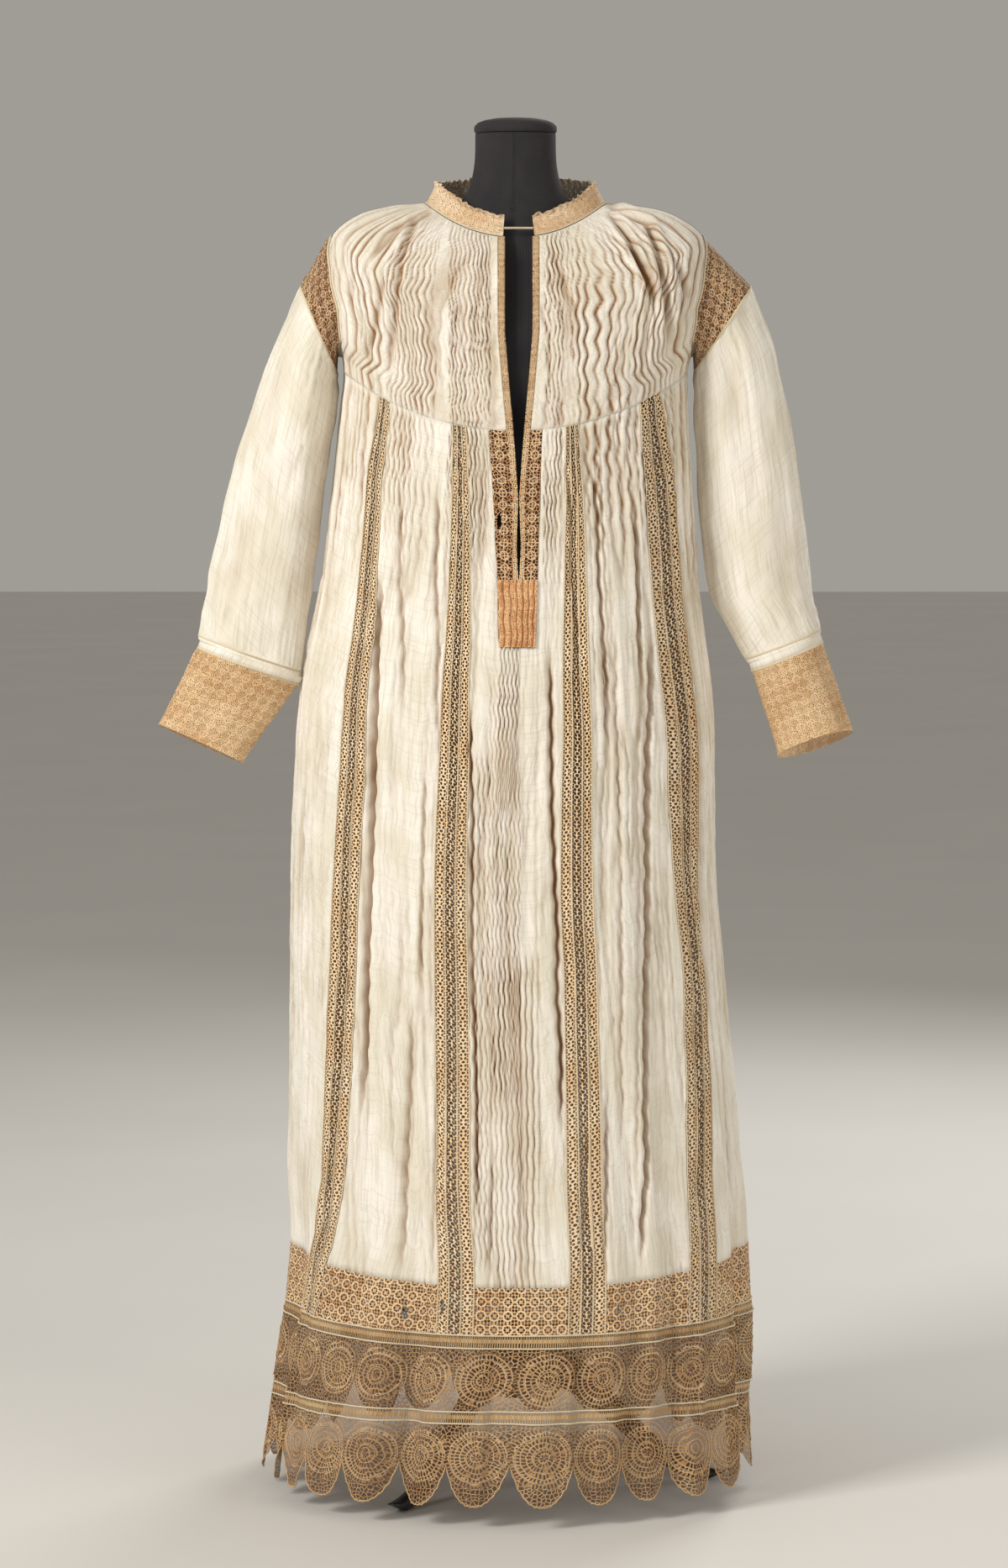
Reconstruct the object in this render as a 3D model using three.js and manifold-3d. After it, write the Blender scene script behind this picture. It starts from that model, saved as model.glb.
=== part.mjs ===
// A lace-trimmed linen alb on a limbless dress form. Millimetres, +Z up, the front faces -Y, the form stands on z = 0.
// Every cloth piece is a thin closed wall laid over one smooth surface, swept through rings down the garment.
import * as THREE from "three";
import { mergeVertices } from "three/addons/utils/BufferGeometryUtils.js";
import Module from "manifold-3d";

const wasm = await Module();
wasm.setup();

// ---- Driving sizes ----
const LINEN = 1.5; // wall of a linen piece
const LACE = 1.2; // wall of a lace piece
const SEAM = 0.3; // gap between two pieces that are sewn together, side by side
const CROSS_SEAM = 0.9; // gap at a seam that runs round the garment, where the two edges have different corners
const CRIMP_MOST = 2.4; // the highest that a pleat stands out from the cloth's middle line
const SQUARENESS = 0.92; // 1 is an ellipse, less is a fuller ring
const STEP_EPSILON = 0.01;
const ANGLE_EPSILON = 0.004;

const rad = THREE.MathUtils.degToRad;
const ease = (x) => THREE.MathUtils.smoothstep(x, 0, 1);
const signedPower = (x, power) => Math.sign(x) * Math.abs(x) ** power;

/** Rows of numbers under named columns, as objects. */
function table(columns, rows) {
  return rows.map((row) => Object.fromEntries(columns.map((name, k) => [name, row[k]])));
}

/** The value of a column at a step, straight between the rows. */
function along(rows, step, column) {
  const next = rows.findIndex((row) => row.step >= step);
  if (next === -1) return rows.at(-1)[column];
  if (next === 0) return rows[0][column];
  const [a, b] = [rows[next - 1], rows[next]];
  return THREE.MathUtils.lerp(a[column], b[column], (step - a.step) / (b.step - a.step));
}

// ---- The garment's surface ----
// Rings from the neck seam (step 0) to the tips of the hem (step 24). Each has its centre, half-width and depths,
// and its heights at the side, front and back, because the neck, yoke seam and hem dip towards the front.
const RING_COLUMNS = ["step", "centre", "half", "front", "back", "zSide", "zFront", "zBack"];
const RINGS = table(RING_COLUMNS, [
  [0, 0, 110, 84, 74, 1570, 1527, 1583],
  [1, 0, 150, 103, 98, 1567, 1500, 1560],
  [2, 0, 190, 118, 115, 1557, 1465, 1520],
  [3, 2, 224, 130, 128, 1532, 1430, 1478],
  [4, 2, 234, 138, 136, 1490, 1396, 1436],
  [5, 2, 228, 143, 142, 1445, 1362, 1395],
  [6, 1, 217, 147, 147, 1402, 1329, 1355],
  [7, 0, 209, 150, 150, 1366, 1296, 1320],
  [8, -3, 213, 155, 158, 1290, 1235, 1250],
  [9, -5, 222, 162, 168, 1190, 1165, 1170],
  [10, -8, 234, 170, 178, 1090, 1080, 1082],
  [11, -11, 247, 178, 188, 1010, 1005, 1005],
  [12, -12, 256, 186, 198, 930, 926, 926],
  [13, -14, 259, 196, 210, 840, 836, 836],
  [14, -14, 261, 208, 222, 740, 734, 736],
  [15, -9, 267, 220, 236, 620, 612, 616],
  [16, -4, 273, 235, 250, 502, 492, 498],
  [17, 0, 279, 252, 266, 392, 380, 388],
  [18, 4, 281, 264, 277, 335, 318, 342],
  [19, 5, 283, 271, 285, 300, 284, 315],
  [20, 4, 287, 282, 294, 230, 229, 242],
  [21, 3, 290, 285, 296, 216, 214, 227],
  [22, -4, 298, 294, 303, 131, 140, 144],
  [23, -5, 299, 296, 304, 117, 126, 130],
  [24, -10, 309, 304, 310, 22, 27, 24],
]);
const YOKE_SEAM = 7;
const LINEN_HEM = 19;
const INSERTION_END = 20;
const FLOUNCE_TOP = 21;
const SECOND_HEADER = 22;
const SCALLOP_TOP = 23;
const HEM = 24;

/** One ring, smooth between the rows of the table. */
function ringAt(step) {
  const at = THREE.MathUtils.clamp(step, 0, HEM);
  const k = Math.min(Math.floor(at), HEM - 1);
  const row = (n) => RINGS[THREE.MathUtils.clamp(n, 0, HEM)];
  const x = at - k;
  const ring = {};
  for (const name of RING_COLUMNS.slice(1)) {
    const [before, a, b, after] = [k - 1, k, k + 1, k + 2].map((n) => row(n)[name]);
    const [slopeA, slopeB] = [(b - before) / 2, (after - a) / 2];
    const [bend, twist] = [3 * (b - a) - 2 * slopeA - slopeB, 2 * (a - b) + slopeA + slopeB];
    ring[name] = a + x * (slopeA + x * (bend + x * twist));
  }
  return ring;
}

/** The smooth surface at an angle from the front, positive towards +X. */
function surface(angle, step) {
  const ring = ringAt(step);
  const [sine, cosine] = [Math.sin(angle), Math.cos(angle)];
  const depth = cosine > 0 ? ring.front : ring.back;
  const middle = cosine > 0 ? ring.zFront : ring.zBack;
  return new THREE.Vector3(
    ring.centre + ring.half * signedPower(sine, SQUARENESS),
    -depth * signedPower(cosine, SQUARENESS),
    ring.zSide + (middle - ring.zSide) * cosine ** 2,
  );
}

function acrossAt(angle, step) {
  return surface(angle + ANGLE_EPSILON, step).sub(surface(angle - ANGLE_EPSILON, step));
}

function outwardAt(angle, step) {
  const down = surface(angle, step + STEP_EPSILON).sub(surface(angle, step - STEP_EPSILON));
  return down.cross(acrossAt(angle, step)).normalize();
}

/** An angle moved sideways over the surface by a length. */
function aside(angle, step, length) {
  return angle + (length * 2 * ANGLE_EPSILON) / acrossAt(angle, step).length();
}

/** The angle of a line at x on the front or the back of the garment. */
function angleAtX(x, step, onBack = false) {
  const ring = ringAt(step);
  const share = THREE.MathUtils.clamp((x - ring.centre) / ring.half, -0.999, 0.999);
  const angle = Math.asin(signedPower(share, 1 / SQUARENESS));
  return onBack ? Math.PI - angle : angle;
}

// The large folds in which the skirt hangs: the angle where each runs, its depth at the hem, its width in degrees and
// the step where it starts.
const DRAPE = table(["angle", "depth", "width", "start"], [
  [-25, 26, 5, 9],
  [-3, 13, 4, 16],
  [15, 15, 5, 16],
  [28, 18, 5, 14],
  [39, 20, 4, 11],
  [72, 26, 6, 13],
  [100, 20, 7, 12],
  [124, 22, 6, 12],
  [150, 18, 6, 14],
  [176, 22, 6, 11],
  [-152, 20, 6, 13],
  [-126, 22, 6, 12],
  [-101, 20, 7, 13],
  [-74, 18, 6, 13],
]);

function drape(angle, step) {
  let depth = 0;
  for (const fold of DRAPE) {
    const off = THREE.MathUtils.euclideanModulo(angle - rad(fold.angle) + Math.PI, 2 * Math.PI) - Math.PI;
    const grown = ease((step - fold.start) / (HEM - fold.start));
    depth += fold.depth * grown * Math.exp(-((off / rad(fold.width)) ** 2));
  }
  return -depth;
}

/** A point of the draped cloth, moved out from it by a length. */
function onCloth(angle, step, out = 0) {
  return surface(angle, step).addScaledVector(outwardAt(angle, step), drape(angle, step) + out);
}

// ---- Walls ----
/** A closed geometry from its corners and faces, with the faces turned to look outwards. */
function closed(positions, faces) {
  const corner = (k) => new THREE.Vector3().fromArray(positions, 3 * k);
  let volume = 0;
  for (let k = 0; k < faces.length; k += 3) {
    volume += corner(faces[k]).dot(corner(faces[k + 1]).cross(corner(faces[k + 2])));
  }
  return new THREE.BufferGeometry()
    .setAttribute("position", new THREE.Float32BufferAttribute(positions, 3))
    .setIndex(volume < 0 ? faces.toReversed() : faces);
}

/**
 * A closed wall over a grid of columns and rows. point(i, j, side) is a corner on its inside (side 0) or outside
 * (side 1), keep(i, j) says which cells it has, and a ring's last column meets its first.
 */
function wall({ columns, rows, point, keep = () => true, ring = false }) {
  const positions = [];
  const faces = [];
  const known = new Map();
  const column = (i) => (ring ? (i + columns) % columns : i);
  const corner = (i, j, side) => {
    const key = `${column(i)} ${j} ${side}`;
    if (!known.has(key)) {
      known.set(key, positions.length / 3);
      positions.push(...point(column(i), j, side).toArray());
    }
    return known.get(key);
  };
  const kept = (i, j) => column(i) >= 0 && column(i) < columns && j >= 0 && j < rows && keep(column(i), j);
  const quad = (a, b, c, d) => faces.push(a, b, c, a, c, d);
  const rim = (a, b) => quad(corner(...a, 1), corner(...b, 1), corner(...b, 0), corner(...a, 0));
  for (let i = 0; i < columns; i++) {
    for (let j = 0; j < rows; j++) {
      if (!kept(i, j)) continue;
      const [a, b, c, d] = [[i, j], [i + 1, j], [i + 1, j + 1], [i, j + 1]];
      quad(corner(...a, 1), corner(...d, 1), corner(...c, 1), corner(...b, 1));
      quad(corner(...a, 0), corner(...b, 0), corner(...c, 0), corner(...d, 0));
      if (!kept(i, j - 1)) rim(a, b);
      if (!kept(i + 1, j)) rim(b, c);
      if (!kept(i, j + 1)) rim(c, d);
      if (!kept(i - 1, j)) rim(d, a);
    }
  }
  return closed(positions, faces);
}

function solidOf(geometry) {
  const bare = new THREE.BufferGeometry().setAttribute("position", geometry.getAttribute("position"));
  const merged = mergeVertices(geometry.index ? bare.setIndex(geometry.index) : bare, 1e-4);
  const [vertProperties, triVerts] = [merged.attributes.position.array, new Uint32Array(merged.index.array)];
  return new wasm.Manifold(new wasm.Mesh({ numProp: 3, vertProperties, triVerts }));
}

/** One geometry after others have been joined to it ("add") or cut from it ("subtract"). */
function combine(geometry, others, way) {
  const result = others.reduce((solid, other) => solid[way](solidOf(other)), solidOf(geometry)).getMesh();
  return new THREE.BufferGeometry()
    .setAttribute("position", new THREE.Float32BufferAttribute(result.vertProperties, 3))
    .setIndex(new THREE.BufferAttribute(result.triVerts, 1));
}

const alb = new THREE.Group();

const cloth = (color, roughness) => new THREE.MeshStandardMaterial({ color, roughness, metalness: 0 });
const MATERIALS = {
  linen: cloth("#e9e2cf", 0.85),
  lace: cloth("#d2ad7c", 0.9),
  jersey: cloth("#26252a", 0.9),
  metal: new THREE.MeshStandardMaterial({ color: "#111113", roughness: 0.35, metalness: 0.6 }),
};
const WALLS = { linen: LINEN, lace: LACE };

function add(name, material, geometry) {
  const mesh = new THREE.Mesh(geometry, MATERIALS[material]);
  mesh.name = name;
  geometry.computeVertexNormals();
  alb.add(mesh);
  return mesh;
}

/**
 * A panel of the garment over a list of steps. knots(step) gives the angles of its seam lines, and columns the number
 * of columns between two of them. crimp folds every other column out, as a share of the column's width. inset and
 * trim are the gaps left at the sides and at the top and bottom edges.
 */
function panel({
  name,
  material,
  steps,
  knots,
  columns,
  crimp = () => 0,
  keep,
  inset = [SEAM / 2, SEAM / 2],
  trim = [CROSS_SEAM / 2, CROSS_SEAM / 2],
  lift = () => 0,
}) {
  const total = columns.reduce((sum, n) => sum + n, 0);
  const firsts = columns.map((_, k) => columns.slice(0, k).reduce((sum, n) => sum + n, 0));
  const last = steps.length - 1;
  const angleOf = (i, step) => {
    const section = firsts.findLastIndex((first) => first <= Math.min(i, total - 1));
    const edges = knots(step);
    const share = (i - firsts[section]) / columns[section];
    return THREE.MathUtils.lerp(edges[section], edges[section + 1], share);
  };
  const point = (i, j, side) => {
    const step = steps[j];
    let angle = angleOf(i, step);
    const width = acrossAt(angle, step).length() * ((angleOf(total, step) - angleOf(0, step)) / total);
    const onSeam = i === total || firsts.includes(i);
    const rise = Math.min(CRIMP_MOST, (crimp(step, angle) * width) / (2 * ANGLE_EPSILON));
    const fold = onSeam ? 0 : rise * (i % 2 ? 1 : -1);
    if (i === 0) angle = aside(angle, step, inset[0]);
    if (i === total) angle = aside(angle, step, -inset[1]);
    const speed = surface(angle, step + STEP_EPSILON).distanceTo(surface(angle, step - STEP_EPSILON));
    const gap = j === 0 ? trim[0] : j === last ? -trim[1] : 0;
    const low = step + (gap * 2 * STEP_EPSILON) / Math.max(speed, STEP_EPSILON);
    return onCloth(angle, low + lift(i, j), fold + side * WALLS[material]);
  };
  return add(name, material, wall({ columns: total, rows: last, point, keep }));
}

// ---- Seam lines ----
const SIDES = { left: -1, right: 1 };

// The opening at the front: half of its width, and the width of the lace edging beside it.
const SLIT_X = 3.5;
const SLIT = table(["step", "half", "edging"], [
  [0, 16.5, 8.5],
  [3.5, 16.5, 8.5],
  [7, 6.4, 8],
  [8.3, 0.5, 6.5],
  [9.1, 2.6, 5],
  [9.55, 0.5, 6],
]);
const slitEdge = (side, step, out = 0) => angleAtX(SLIT_X + side * (along(SLIT, step, "half") + out), step);
const edgingEdge = (side, step) => slitEdge(side, step, along(SLIT, step, "edging"));

// The notch in the front of the skirt, which the lace panels and the gusset fill.
const NOTCH = table(["step", "left", "right"], [
  [7, -32, 32],
  [9.55, -22, 26],
  [10.55, -20, 23],
]);
const GUSSET_TOP = 9.55;
const GUSSET_END = 10.55;
const notchEdge = (side, step) => angleAtX(along(NOTCH, step, side < 0 ? "left" : "right"), step);

// The armhole: how far its edge lies before and behind the side, from the shoulder strip to the underarm.
const SHOULDER_POINT = 3;
const UNDERARM = 6.5;
const ARMHOLE = table(["step", "reach"], [
  [SHOULDER_POINT, 8],
  [3.8, 42],
  [4.8, 56],
  [5.8, 44],
  [UNDERARM, 0],
]);
/** The angle of the armhole's or shoulder strip's edge, in front of the side or behind it. */
function armEdge(side, step, onBack) {
  const reach = along(ARMHOLE, step, "reach");
  const ring = ringAt(step);
  const depth = onBack ? ring.back : ring.front;
  const off = Math.asin(Math.min(1, reach / depth) ** (1 / SQUARENESS));
  return side * (Math.PI / 2 + (onBack ? off : -off));
}

// The lace insertions down the skirt, by their centre lines' angles, and their width. The outer right one lies open,
// where the pleats pinch the others towards the yoke.
const INSERTION_COLUMNS = ["step", "outerLeft", "innerLeft", "innerRight", "outerRight", "width", "openWidth"];
const INSERTIONS = table(INSERTION_COLUMNS, [
  [7, -47, -17, 17, 49, 16, 34],
  [8.3, -48.6, -15, 18.3, 53.8, 21, 50],
  [10.55, -44.7, -12.6, 17.8, 55.4, 30, 60],
  [12.6, -43.8, -12.2, 17.7, 56.5, 37, 60],
  [14.6, -46.4, -12.9, 17.7, 58, 40, 52],
  [16.8, -51, -13.9, 15.4, 51.7, 43, 44],
  [20, -62, -14, 14.7, 49.3, 46, 46],
]);
const INSERTION_NAMES = {
  front_outer_left: ["outerLeft", false],
  front_inner_left: ["innerLeft", false],
  front_inner_right: ["innerRight", false],
  front_outer_right: ["outerRight", false],
  back_outer_right: ["outerRight", true],
  back_inner_right: ["innerRight", true],
  back_inner_left: ["innerLeft", true],
  back_outer_left: ["outerLeft", true],
};

/** The angle of an insertion's edge. Edge -1 is the one towards smaller angles, and back angles pass 180 degrees. */
function insertionEdge(insertion, step, edge) {
  const [column, onBack] = INSERTION_NAMES[insertion];
  const front = rad(along(INSERTIONS, step, column));
  const centre = onBack ? Math.PI - front : front;
  const width = along(INSERTIONS, step, column === "outerRight" ? "openWidth" : "width");
  return aside(centre, step, (edge * width) / 2);
}

// ---- Yoke ----
const YOKE_STEPS = [0, 1.5, SHOULDER_POINT, 3.8, 4.8, 5.8, UNDERARM, YOKE_SEAM];
const FRONT_YOKE_COLUMNS = 32;
const BACK_YOKE_COLUMNS = 24;
const YOKE_CRIMP = 0.27;

/** Pleats fade towards the smooth cloth beside the armholes. */
function yokeCrimp(step, angle) {
  const fromMiddle = Math.min(Math.abs(angle), Math.abs(Math.PI - Math.abs(angle)));
  return YOKE_CRIMP * (1 - 0.75 * ease((fromMiddle - rad(40)) / rad(30)));
}

for (const [sideName, side] of Object.entries(SIDES)) {
  const ordered = (a, b) => (side < 0 ? [b, a] : [a, b]);
  panel({
    name: `yoke_front_${sideName}`,
    material: "linen",
    steps: YOKE_STEPS,
    knots: (step) => ordered(edgingEdge(side, step), armEdge(side, step, false)),
    columns: [FRONT_YOKE_COLUMNS],
    crimp: yokeCrimp,
  });
  panel({
    name: `yoke_back_${sideName}`,
    material: "linen",
    steps: YOKE_STEPS,
    knots: (step) => ordered(armEdge(side, step, true), side * Math.PI),
    columns: [BACK_YOKE_COLUMNS],
    crimp: yokeCrimp,
  });
  panel({
    name: `shoulder_strip_${sideName}`,
    material: "lace",
    steps: [0, 1.5, SHOULDER_POINT],
    knots: (step) => ordered(armEdge(side, step, false), armEdge(side, step, true)),
    columns: [2],
  });
  panel({
    name: `slit_edging_${sideName}`,
    material: "lace",
    steps: [...YOKE_STEPS, 8.3, 9.1, GUSSET_TOP],
    knots: (step) => ordered(slitEdge(side, step), edgingEdge(side, step)),
    columns: [1],
  });
  panel({
    name: `centre_lace_${sideName}`,
    material: "lace",
    steps: [YOKE_SEAM, 8.3, 9.1, GUSSET_TOP],
    knots: (step) => ordered(edgingEdge(side, step), notchEdge(side, step)),
    columns: [2],
    inset: ordered(SEAM / 2, SEAM),
  });
}
panel({
  name: "centre_gusset",
  material: "lace",
  steps: [GUSSET_TOP, 10, GUSSET_END],
  knots: (step) => [notchEdge(-1, step), notchEdge(1, step)],
  columns: [12],
  crimp: () => 0.35,
  inset: [SEAM, SEAM],
  trim: [CROSS_SEAM / 2, CROSS_SEAM],
});

// ---- Neckband ----
// A leaning lace band with an uneven frill on its upper edge, in two halves that a short twisted thread joins.
const BAND = table(["row", "half", "front", "back", "zSide", "zFront", "zBack"], [
  [0, 108, 82, 72, 1572, 1529, 1585],
  [1, 99, 76, 65, 1589, 1546, 1599],
  [2, 96, 73, 62, 1596, 1553, 1606],
]);
const BAND_COLUMNS = 18;
const FRILL_WAVE = 2.2; // how far the frill's edge rises and falls, and half as far in and out

function bandPoint(angle, row, out) {
  const { half, front, back, zSide, zFront, zBack } = BAND[row];
  const [sine, cosine] = [Math.sin(angle), Math.cos(angle)];
  const [depth, middle] = cosine > 0 ? [front, zFront] : [back, zBack];
  const [x, y] = [half * signedPower(sine, SQUARENESS), -depth * signedPower(cosine, SQUARENESS)];
  const outward = new THREE.Vector3(sine * depth, -cosine * half, 0).normalize();
  return new THREE.Vector3(x, y, zSide + (middle - zSide) * cosine ** 2).addScaledVector(outward, out);
}

const bandEnd = (side) => side * Math.asin((SLIT[0].half + side * SLIT_X) / RINGS[0].half);
for (const [sideName, side] of Object.entries(SIDES)) {
  const point = (i, j, outer) => {
    const seamAngle = side * (Math.PI - SEAM / 2 / BAND[j].half);
    const angle = THREE.MathUtils.lerp(bandEnd(side), seamAngle, i / BAND_COLUMNS);
    const wave = j === 2 ? FRILL_WAVE * (i % 2 ? 1 : -1) : 0;
    const corner = bandPoint(angle, j, outer * LACE + wave / 2);
    corner.z += wave;
    return corner;
  };
  add(`neckband_${sideName}`, "lace", wall({ columns: BAND_COLUMNS, rows: 2, point }));
}

// The thread runs between the middles of the band's two ends.
const TIE_RADIUS = 1.6;
const TIE_GAP = 0.8;
const tieEnds = [-1, 1].map((side) => bandPoint(bandEnd(side), 0, 1).lerp(bandPoint(bandEnd(side), 1, 1), 0.5));
const tieSpan = tieEnds[1].x - tieEnds[0].x - 2 * TIE_GAP;
const tie = add("neck_tie", "linen", new THREE.CylinderGeometry(TIE_RADIUS, TIE_RADIUS, tieSpan, 6));
tie.geometry.rotateZ(Math.PI / 2);
tie.position.copy(tieEnds[0]).lerp(tieEnds[1], 0.5);

// ---- Skirt ----
const SKIRT_STEPS = [YOKE_SEAM, 8.3, GUSSET_TOP, GUSSET_END, 12.6, 14.6, 16.8, LINEN_HEM];
const SKIRT_CRIMP = 0.22;
const NOTCH_ROWS = SKIRT_STEPS.indexOf(GUSSET_END);
const skirtCrimp = (step) => SKIRT_CRIMP * (1 - 0.8 * ease((step - 9) / 9));
const centreCrimp = (step) => SKIRT_CRIMP * (1.2 - 0.8 * ease((step - 14) / 5));

// Each panel lies between two insertions. The last one's far edge has come a whole turn round.
const SKIRT = table(["name", "from", "to", "columns", "wrap"], [
  ["front_left", "front_outer_left", "front_inner_left", 12, 0],
  ["front_centre", "front_inner_left", "front_inner_right", 16, 0],
  ["front_right", "front_inner_right", "front_outer_right", 12, 0],
  ["side_right", "front_outer_right", "back_outer_right", 10, 0],
  ["back_right", "back_outer_right", "back_inner_right", 10, 0],
  ["back_centre", "back_inner_right", "back_inner_left", 12, 0],
  ["back_left", "back_inner_left", "back_outer_left", 10, 0],
  ["side_left", "back_outer_left", "front_outer_left", 10, 2 * Math.PI],
]);

const CENTRE_COLUMNS = [4, 8, 4];
const HEM_SHARES = [0.25, 0.75]; // where the two lines that run down from the notch meet the hem

/** The seam lines of the front panel: its sides, and between them the notch, whose lines spread out below it. */
function centreKnots(step) {
  const left = insertionEdge("front_inner_left", step, 1);
  const right = insertionEdge("front_inner_right", step, -1);
  const spread = Math.max(0, (step - GUSSET_END) / (LINEN_HEM - GUSSET_END));
  const lines = [-1, 1].map((side, k) => {
    const hemAngle = THREE.MathUtils.lerp(left, right, HEM_SHARES[k]);
    return THREE.MathUtils.lerp(notchEdge(side, Math.min(step, GUSSET_END)), hemAngle, spread);
  });
  return [left, ...lines, right];
}
const inNotch = (i, j) => j < NOTCH_ROWS && i >= CENTRE_COLUMNS[0] && i < CENTRE_COLUMNS[0] + CENTRE_COLUMNS[1];

for (const { name, from, to, columns, wrap } of SKIRT) {
  const notched = name === "front_centre";
  const edges = (step) => [insertionEdge(from, step, 1), insertionEdge(to, step, -1) + wrap];
  const lines = { knots: notched ? centreKnots : edges, columns: notched ? CENTRE_COLUMNS : [columns] };
  panel({
    name: `skirt_${name}`,
    material: "linen",
    steps: SKIRT_STEPS,
    ...lines,
    crimp: notched ? centreCrimp : skirtCrimp,
    keep: notched ? (i, j) => !inNotch(i, j) : undefined,
  });
  panel({ name: `hem_lace_${name}`, material: "lace", steps: [LINEN_HEM, INSERTION_END], ...lines });
}
for (const insertion of Object.keys(INSERTION_NAMES)) {
  panel({
    name: `insertion_${insertion}`,
    material: "lace",
    steps: [...SKIRT_STEPS, INSERTION_END],
    knots: (step) => [insertionEdge(insertion, step, -1), insertionEdge(insertion, step, 1)],
    columns: [2],
  });
}

// ---- Flounce ----
// Two deep rows of wheel lace. The lower one ends in round scallops, and both are cut through beside each wheel.
const LOBES = 28;
const COLUMNS_PER_LOBE = 4;
const SCALLOP_MIDDLE = 23.35;
const NOTCH_RISE = 0.48; // height of a notch between two lobes, in steps above the tips
const LOBE_EDGE = [1, 0.3, 0, 0.3]; // share of that height at the corners of a lobe
const BESIDE_WHEEL = 0.583; // share of a lobe at which its slots lie
const UPPER_SLOTS = { step: 21.62, width: 4.6, height: 9 };
const LOWER_SLOTS = { step: 23.19, width: 4.6, height: 9 };
const CUTTER_DEPTH = 30;

/** A slot through the cloth at a place: a box along the outward direction there. */
function slot(angle, { step, width, height }) {
  const outward = outwardAt(angle, step);
  const across = acrossAt(angle, step).normalize();
  const basis = new THREE.Matrix4().makeBasis(across, outward.clone().cross(across).normalize(), outward);
  basis.setPosition(onCloth(angle, step));
  return new THREE.BoxGeometry(width, height, CUTTER_DEPTH).applyMatrix4(basis);
}

const halfTurns = { left: [-Math.PI, 0], right: [0, Math.PI] };
for (const [sideName, [from, to]] of Object.entries(halfTurns)) {
  const lobeAngle = (lobe) => THREE.MathUtils.lerp(from, to, lobe / (LOBES / 2));
  const upper = panel({
    name: `flounce_upper_${sideName}`,
    material: "lace",
    steps: [INSERTION_END, SECOND_HEADER],
    knots: () => [from, to],
    columns: [(LOBES / 2) * COLUMNS_PER_LOBE],
  });
  const lower = panel({
    name: `flounce_lower_${sideName}`,
    material: "lace",
    steps: [SECOND_HEADER, SCALLOP_MIDDLE, HEM],
    knots: () => [from, to],
    columns: [(LOBES / 2) * COLUMNS_PER_LOBE],
    trim: [CROSS_SEAM / 2, 0],
    lift: (i, j) => (j === 2 ? -NOTCH_RISE * LOBE_EDGE[i % COLUMNS_PER_LOBE] : 0),
  });
  const lobes = Array.from({ length: LOBES / 2 }, (_, lobe) => lobeAngle(lobe + BESIDE_WHEEL));
  for (const [mesh, size] of [[upper, UPPER_SLOTS], [lower, LOWER_SLOTS]]) {
    const cutters = lobes.map((angle) => slot(angle, size));
    mesh.geometry = combine(mesh.geometry, cutters, "subtract");
  }
}

// Old tears in the lace, each an upright slot.
const TEARS = table(["panel", "angle", "step", "width", "height"], [
  ["insertion_front_inner_left", -17.2, 19.4, 7, 13],
  ["hem_lace_front_left", -28, 19.6, 6, 9],
  ["hem_lace_front_right", 22.7, 19.5, 5, 10],
  ["centre_lace_left", -3.2, 8.7, 4.4, 14],
]);
for (const tear of TEARS) {
  const torn = alb.getObjectByName(tear.panel);
  torn.geometry = combine(torn.geometry, [slot(rad(tear.angle), tear)], "subtract");
}

// ---- Sleeves ----
// Each sleeve starts at the armhole's edge and runs through sections: its outer and inner edge, its half depth, its
// middle's y, and how much higher its front edge is than its back one.
const SECTION_COLUMNS = ["outerX", "outerZ", "innerX", "innerZ", "depth", "middle", "tilt"];
const SLEEVES = {
  left: table(SECTION_COLUMNS, [
    [-262, 1470, -219, 1368, 56, 0, 0],
    [-300, 1384, -220, 1335, 50, -2, 0],
    [-336, 1277, -231, 1250, 46, -6, 0],
    [-360, 1170, -240, 1164, 42, -12, 0],
    [-376, 1098, -250, 1085, 38, -16, 0],
    [-387, 1046, -262, 1001, 32, -20, 0],
    [-388, 1031, -265, 986, 31, -22, 0],
    [-436, 937, -334, 890, 24, -28, 8],
  ]),
  right: table(SECTION_COLUMNS, [
    [287, 1470, 219, 1368, 56, 0, 0],
    [315, 1384, 219, 1330, 50, -2, 0],
    [338, 1277, 223, 1240, 46, -6, 0],
    [353, 1170, 230, 1150, 44, -12, 0],
    [361, 1098, 243, 1085, 42, -18, 0],
    [372, 1053, 281, 1018, 41, -24, 0],
    [375, 1038, 289, 1003, 41, -26, 0],
    [411, 928, 321, 899, 38, -34, 21],
  ]),
};
const SLEEVE_PIECES = table(["name", "material", "from", "to"], [
  ["sleeve_lace", "lace", 0, 1],
  ["sleeve", "linen", 1, 6],
  ["sleeve_band", "linen", 6, 7],
  ["cuff", "lace", 7, 8],
]);
const ARMHOLE_STEPS = ARMHOLE.map((row) => row.step);
const SLEEVE_COLUMNS = 4 * (ARMHOLE_STEPS.length - 1);
const CUFF_END = 8;
const ARMHOLE_GAP = 1.5; // the sleeve starts about this far out from the armhole's edge, and more at the underarm

/** A corner of the armhole, counted from the shoulder forwards and round. Odd ones lie halfway between two others. */
function armholeCorner(side, k) {
  if (k % 2) return armholeCorner(side, k - 1).lerp(armholeCorner(side, k + 1), 0.5);
  const corners = SLEEVE_COLUMNS / 2;
  const n = (k / 2) % corners;
  const onBack = n > corners / 2;
  const step = ARMHOLE_STEPS[onBack ? corners - n : n];
  const shut = step === SHOULDER_POINT || step === UNDERARM;
  return onCloth(shut ? (side * Math.PI) / 2 : armEdge(side, step, onBack), step);
}

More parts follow.
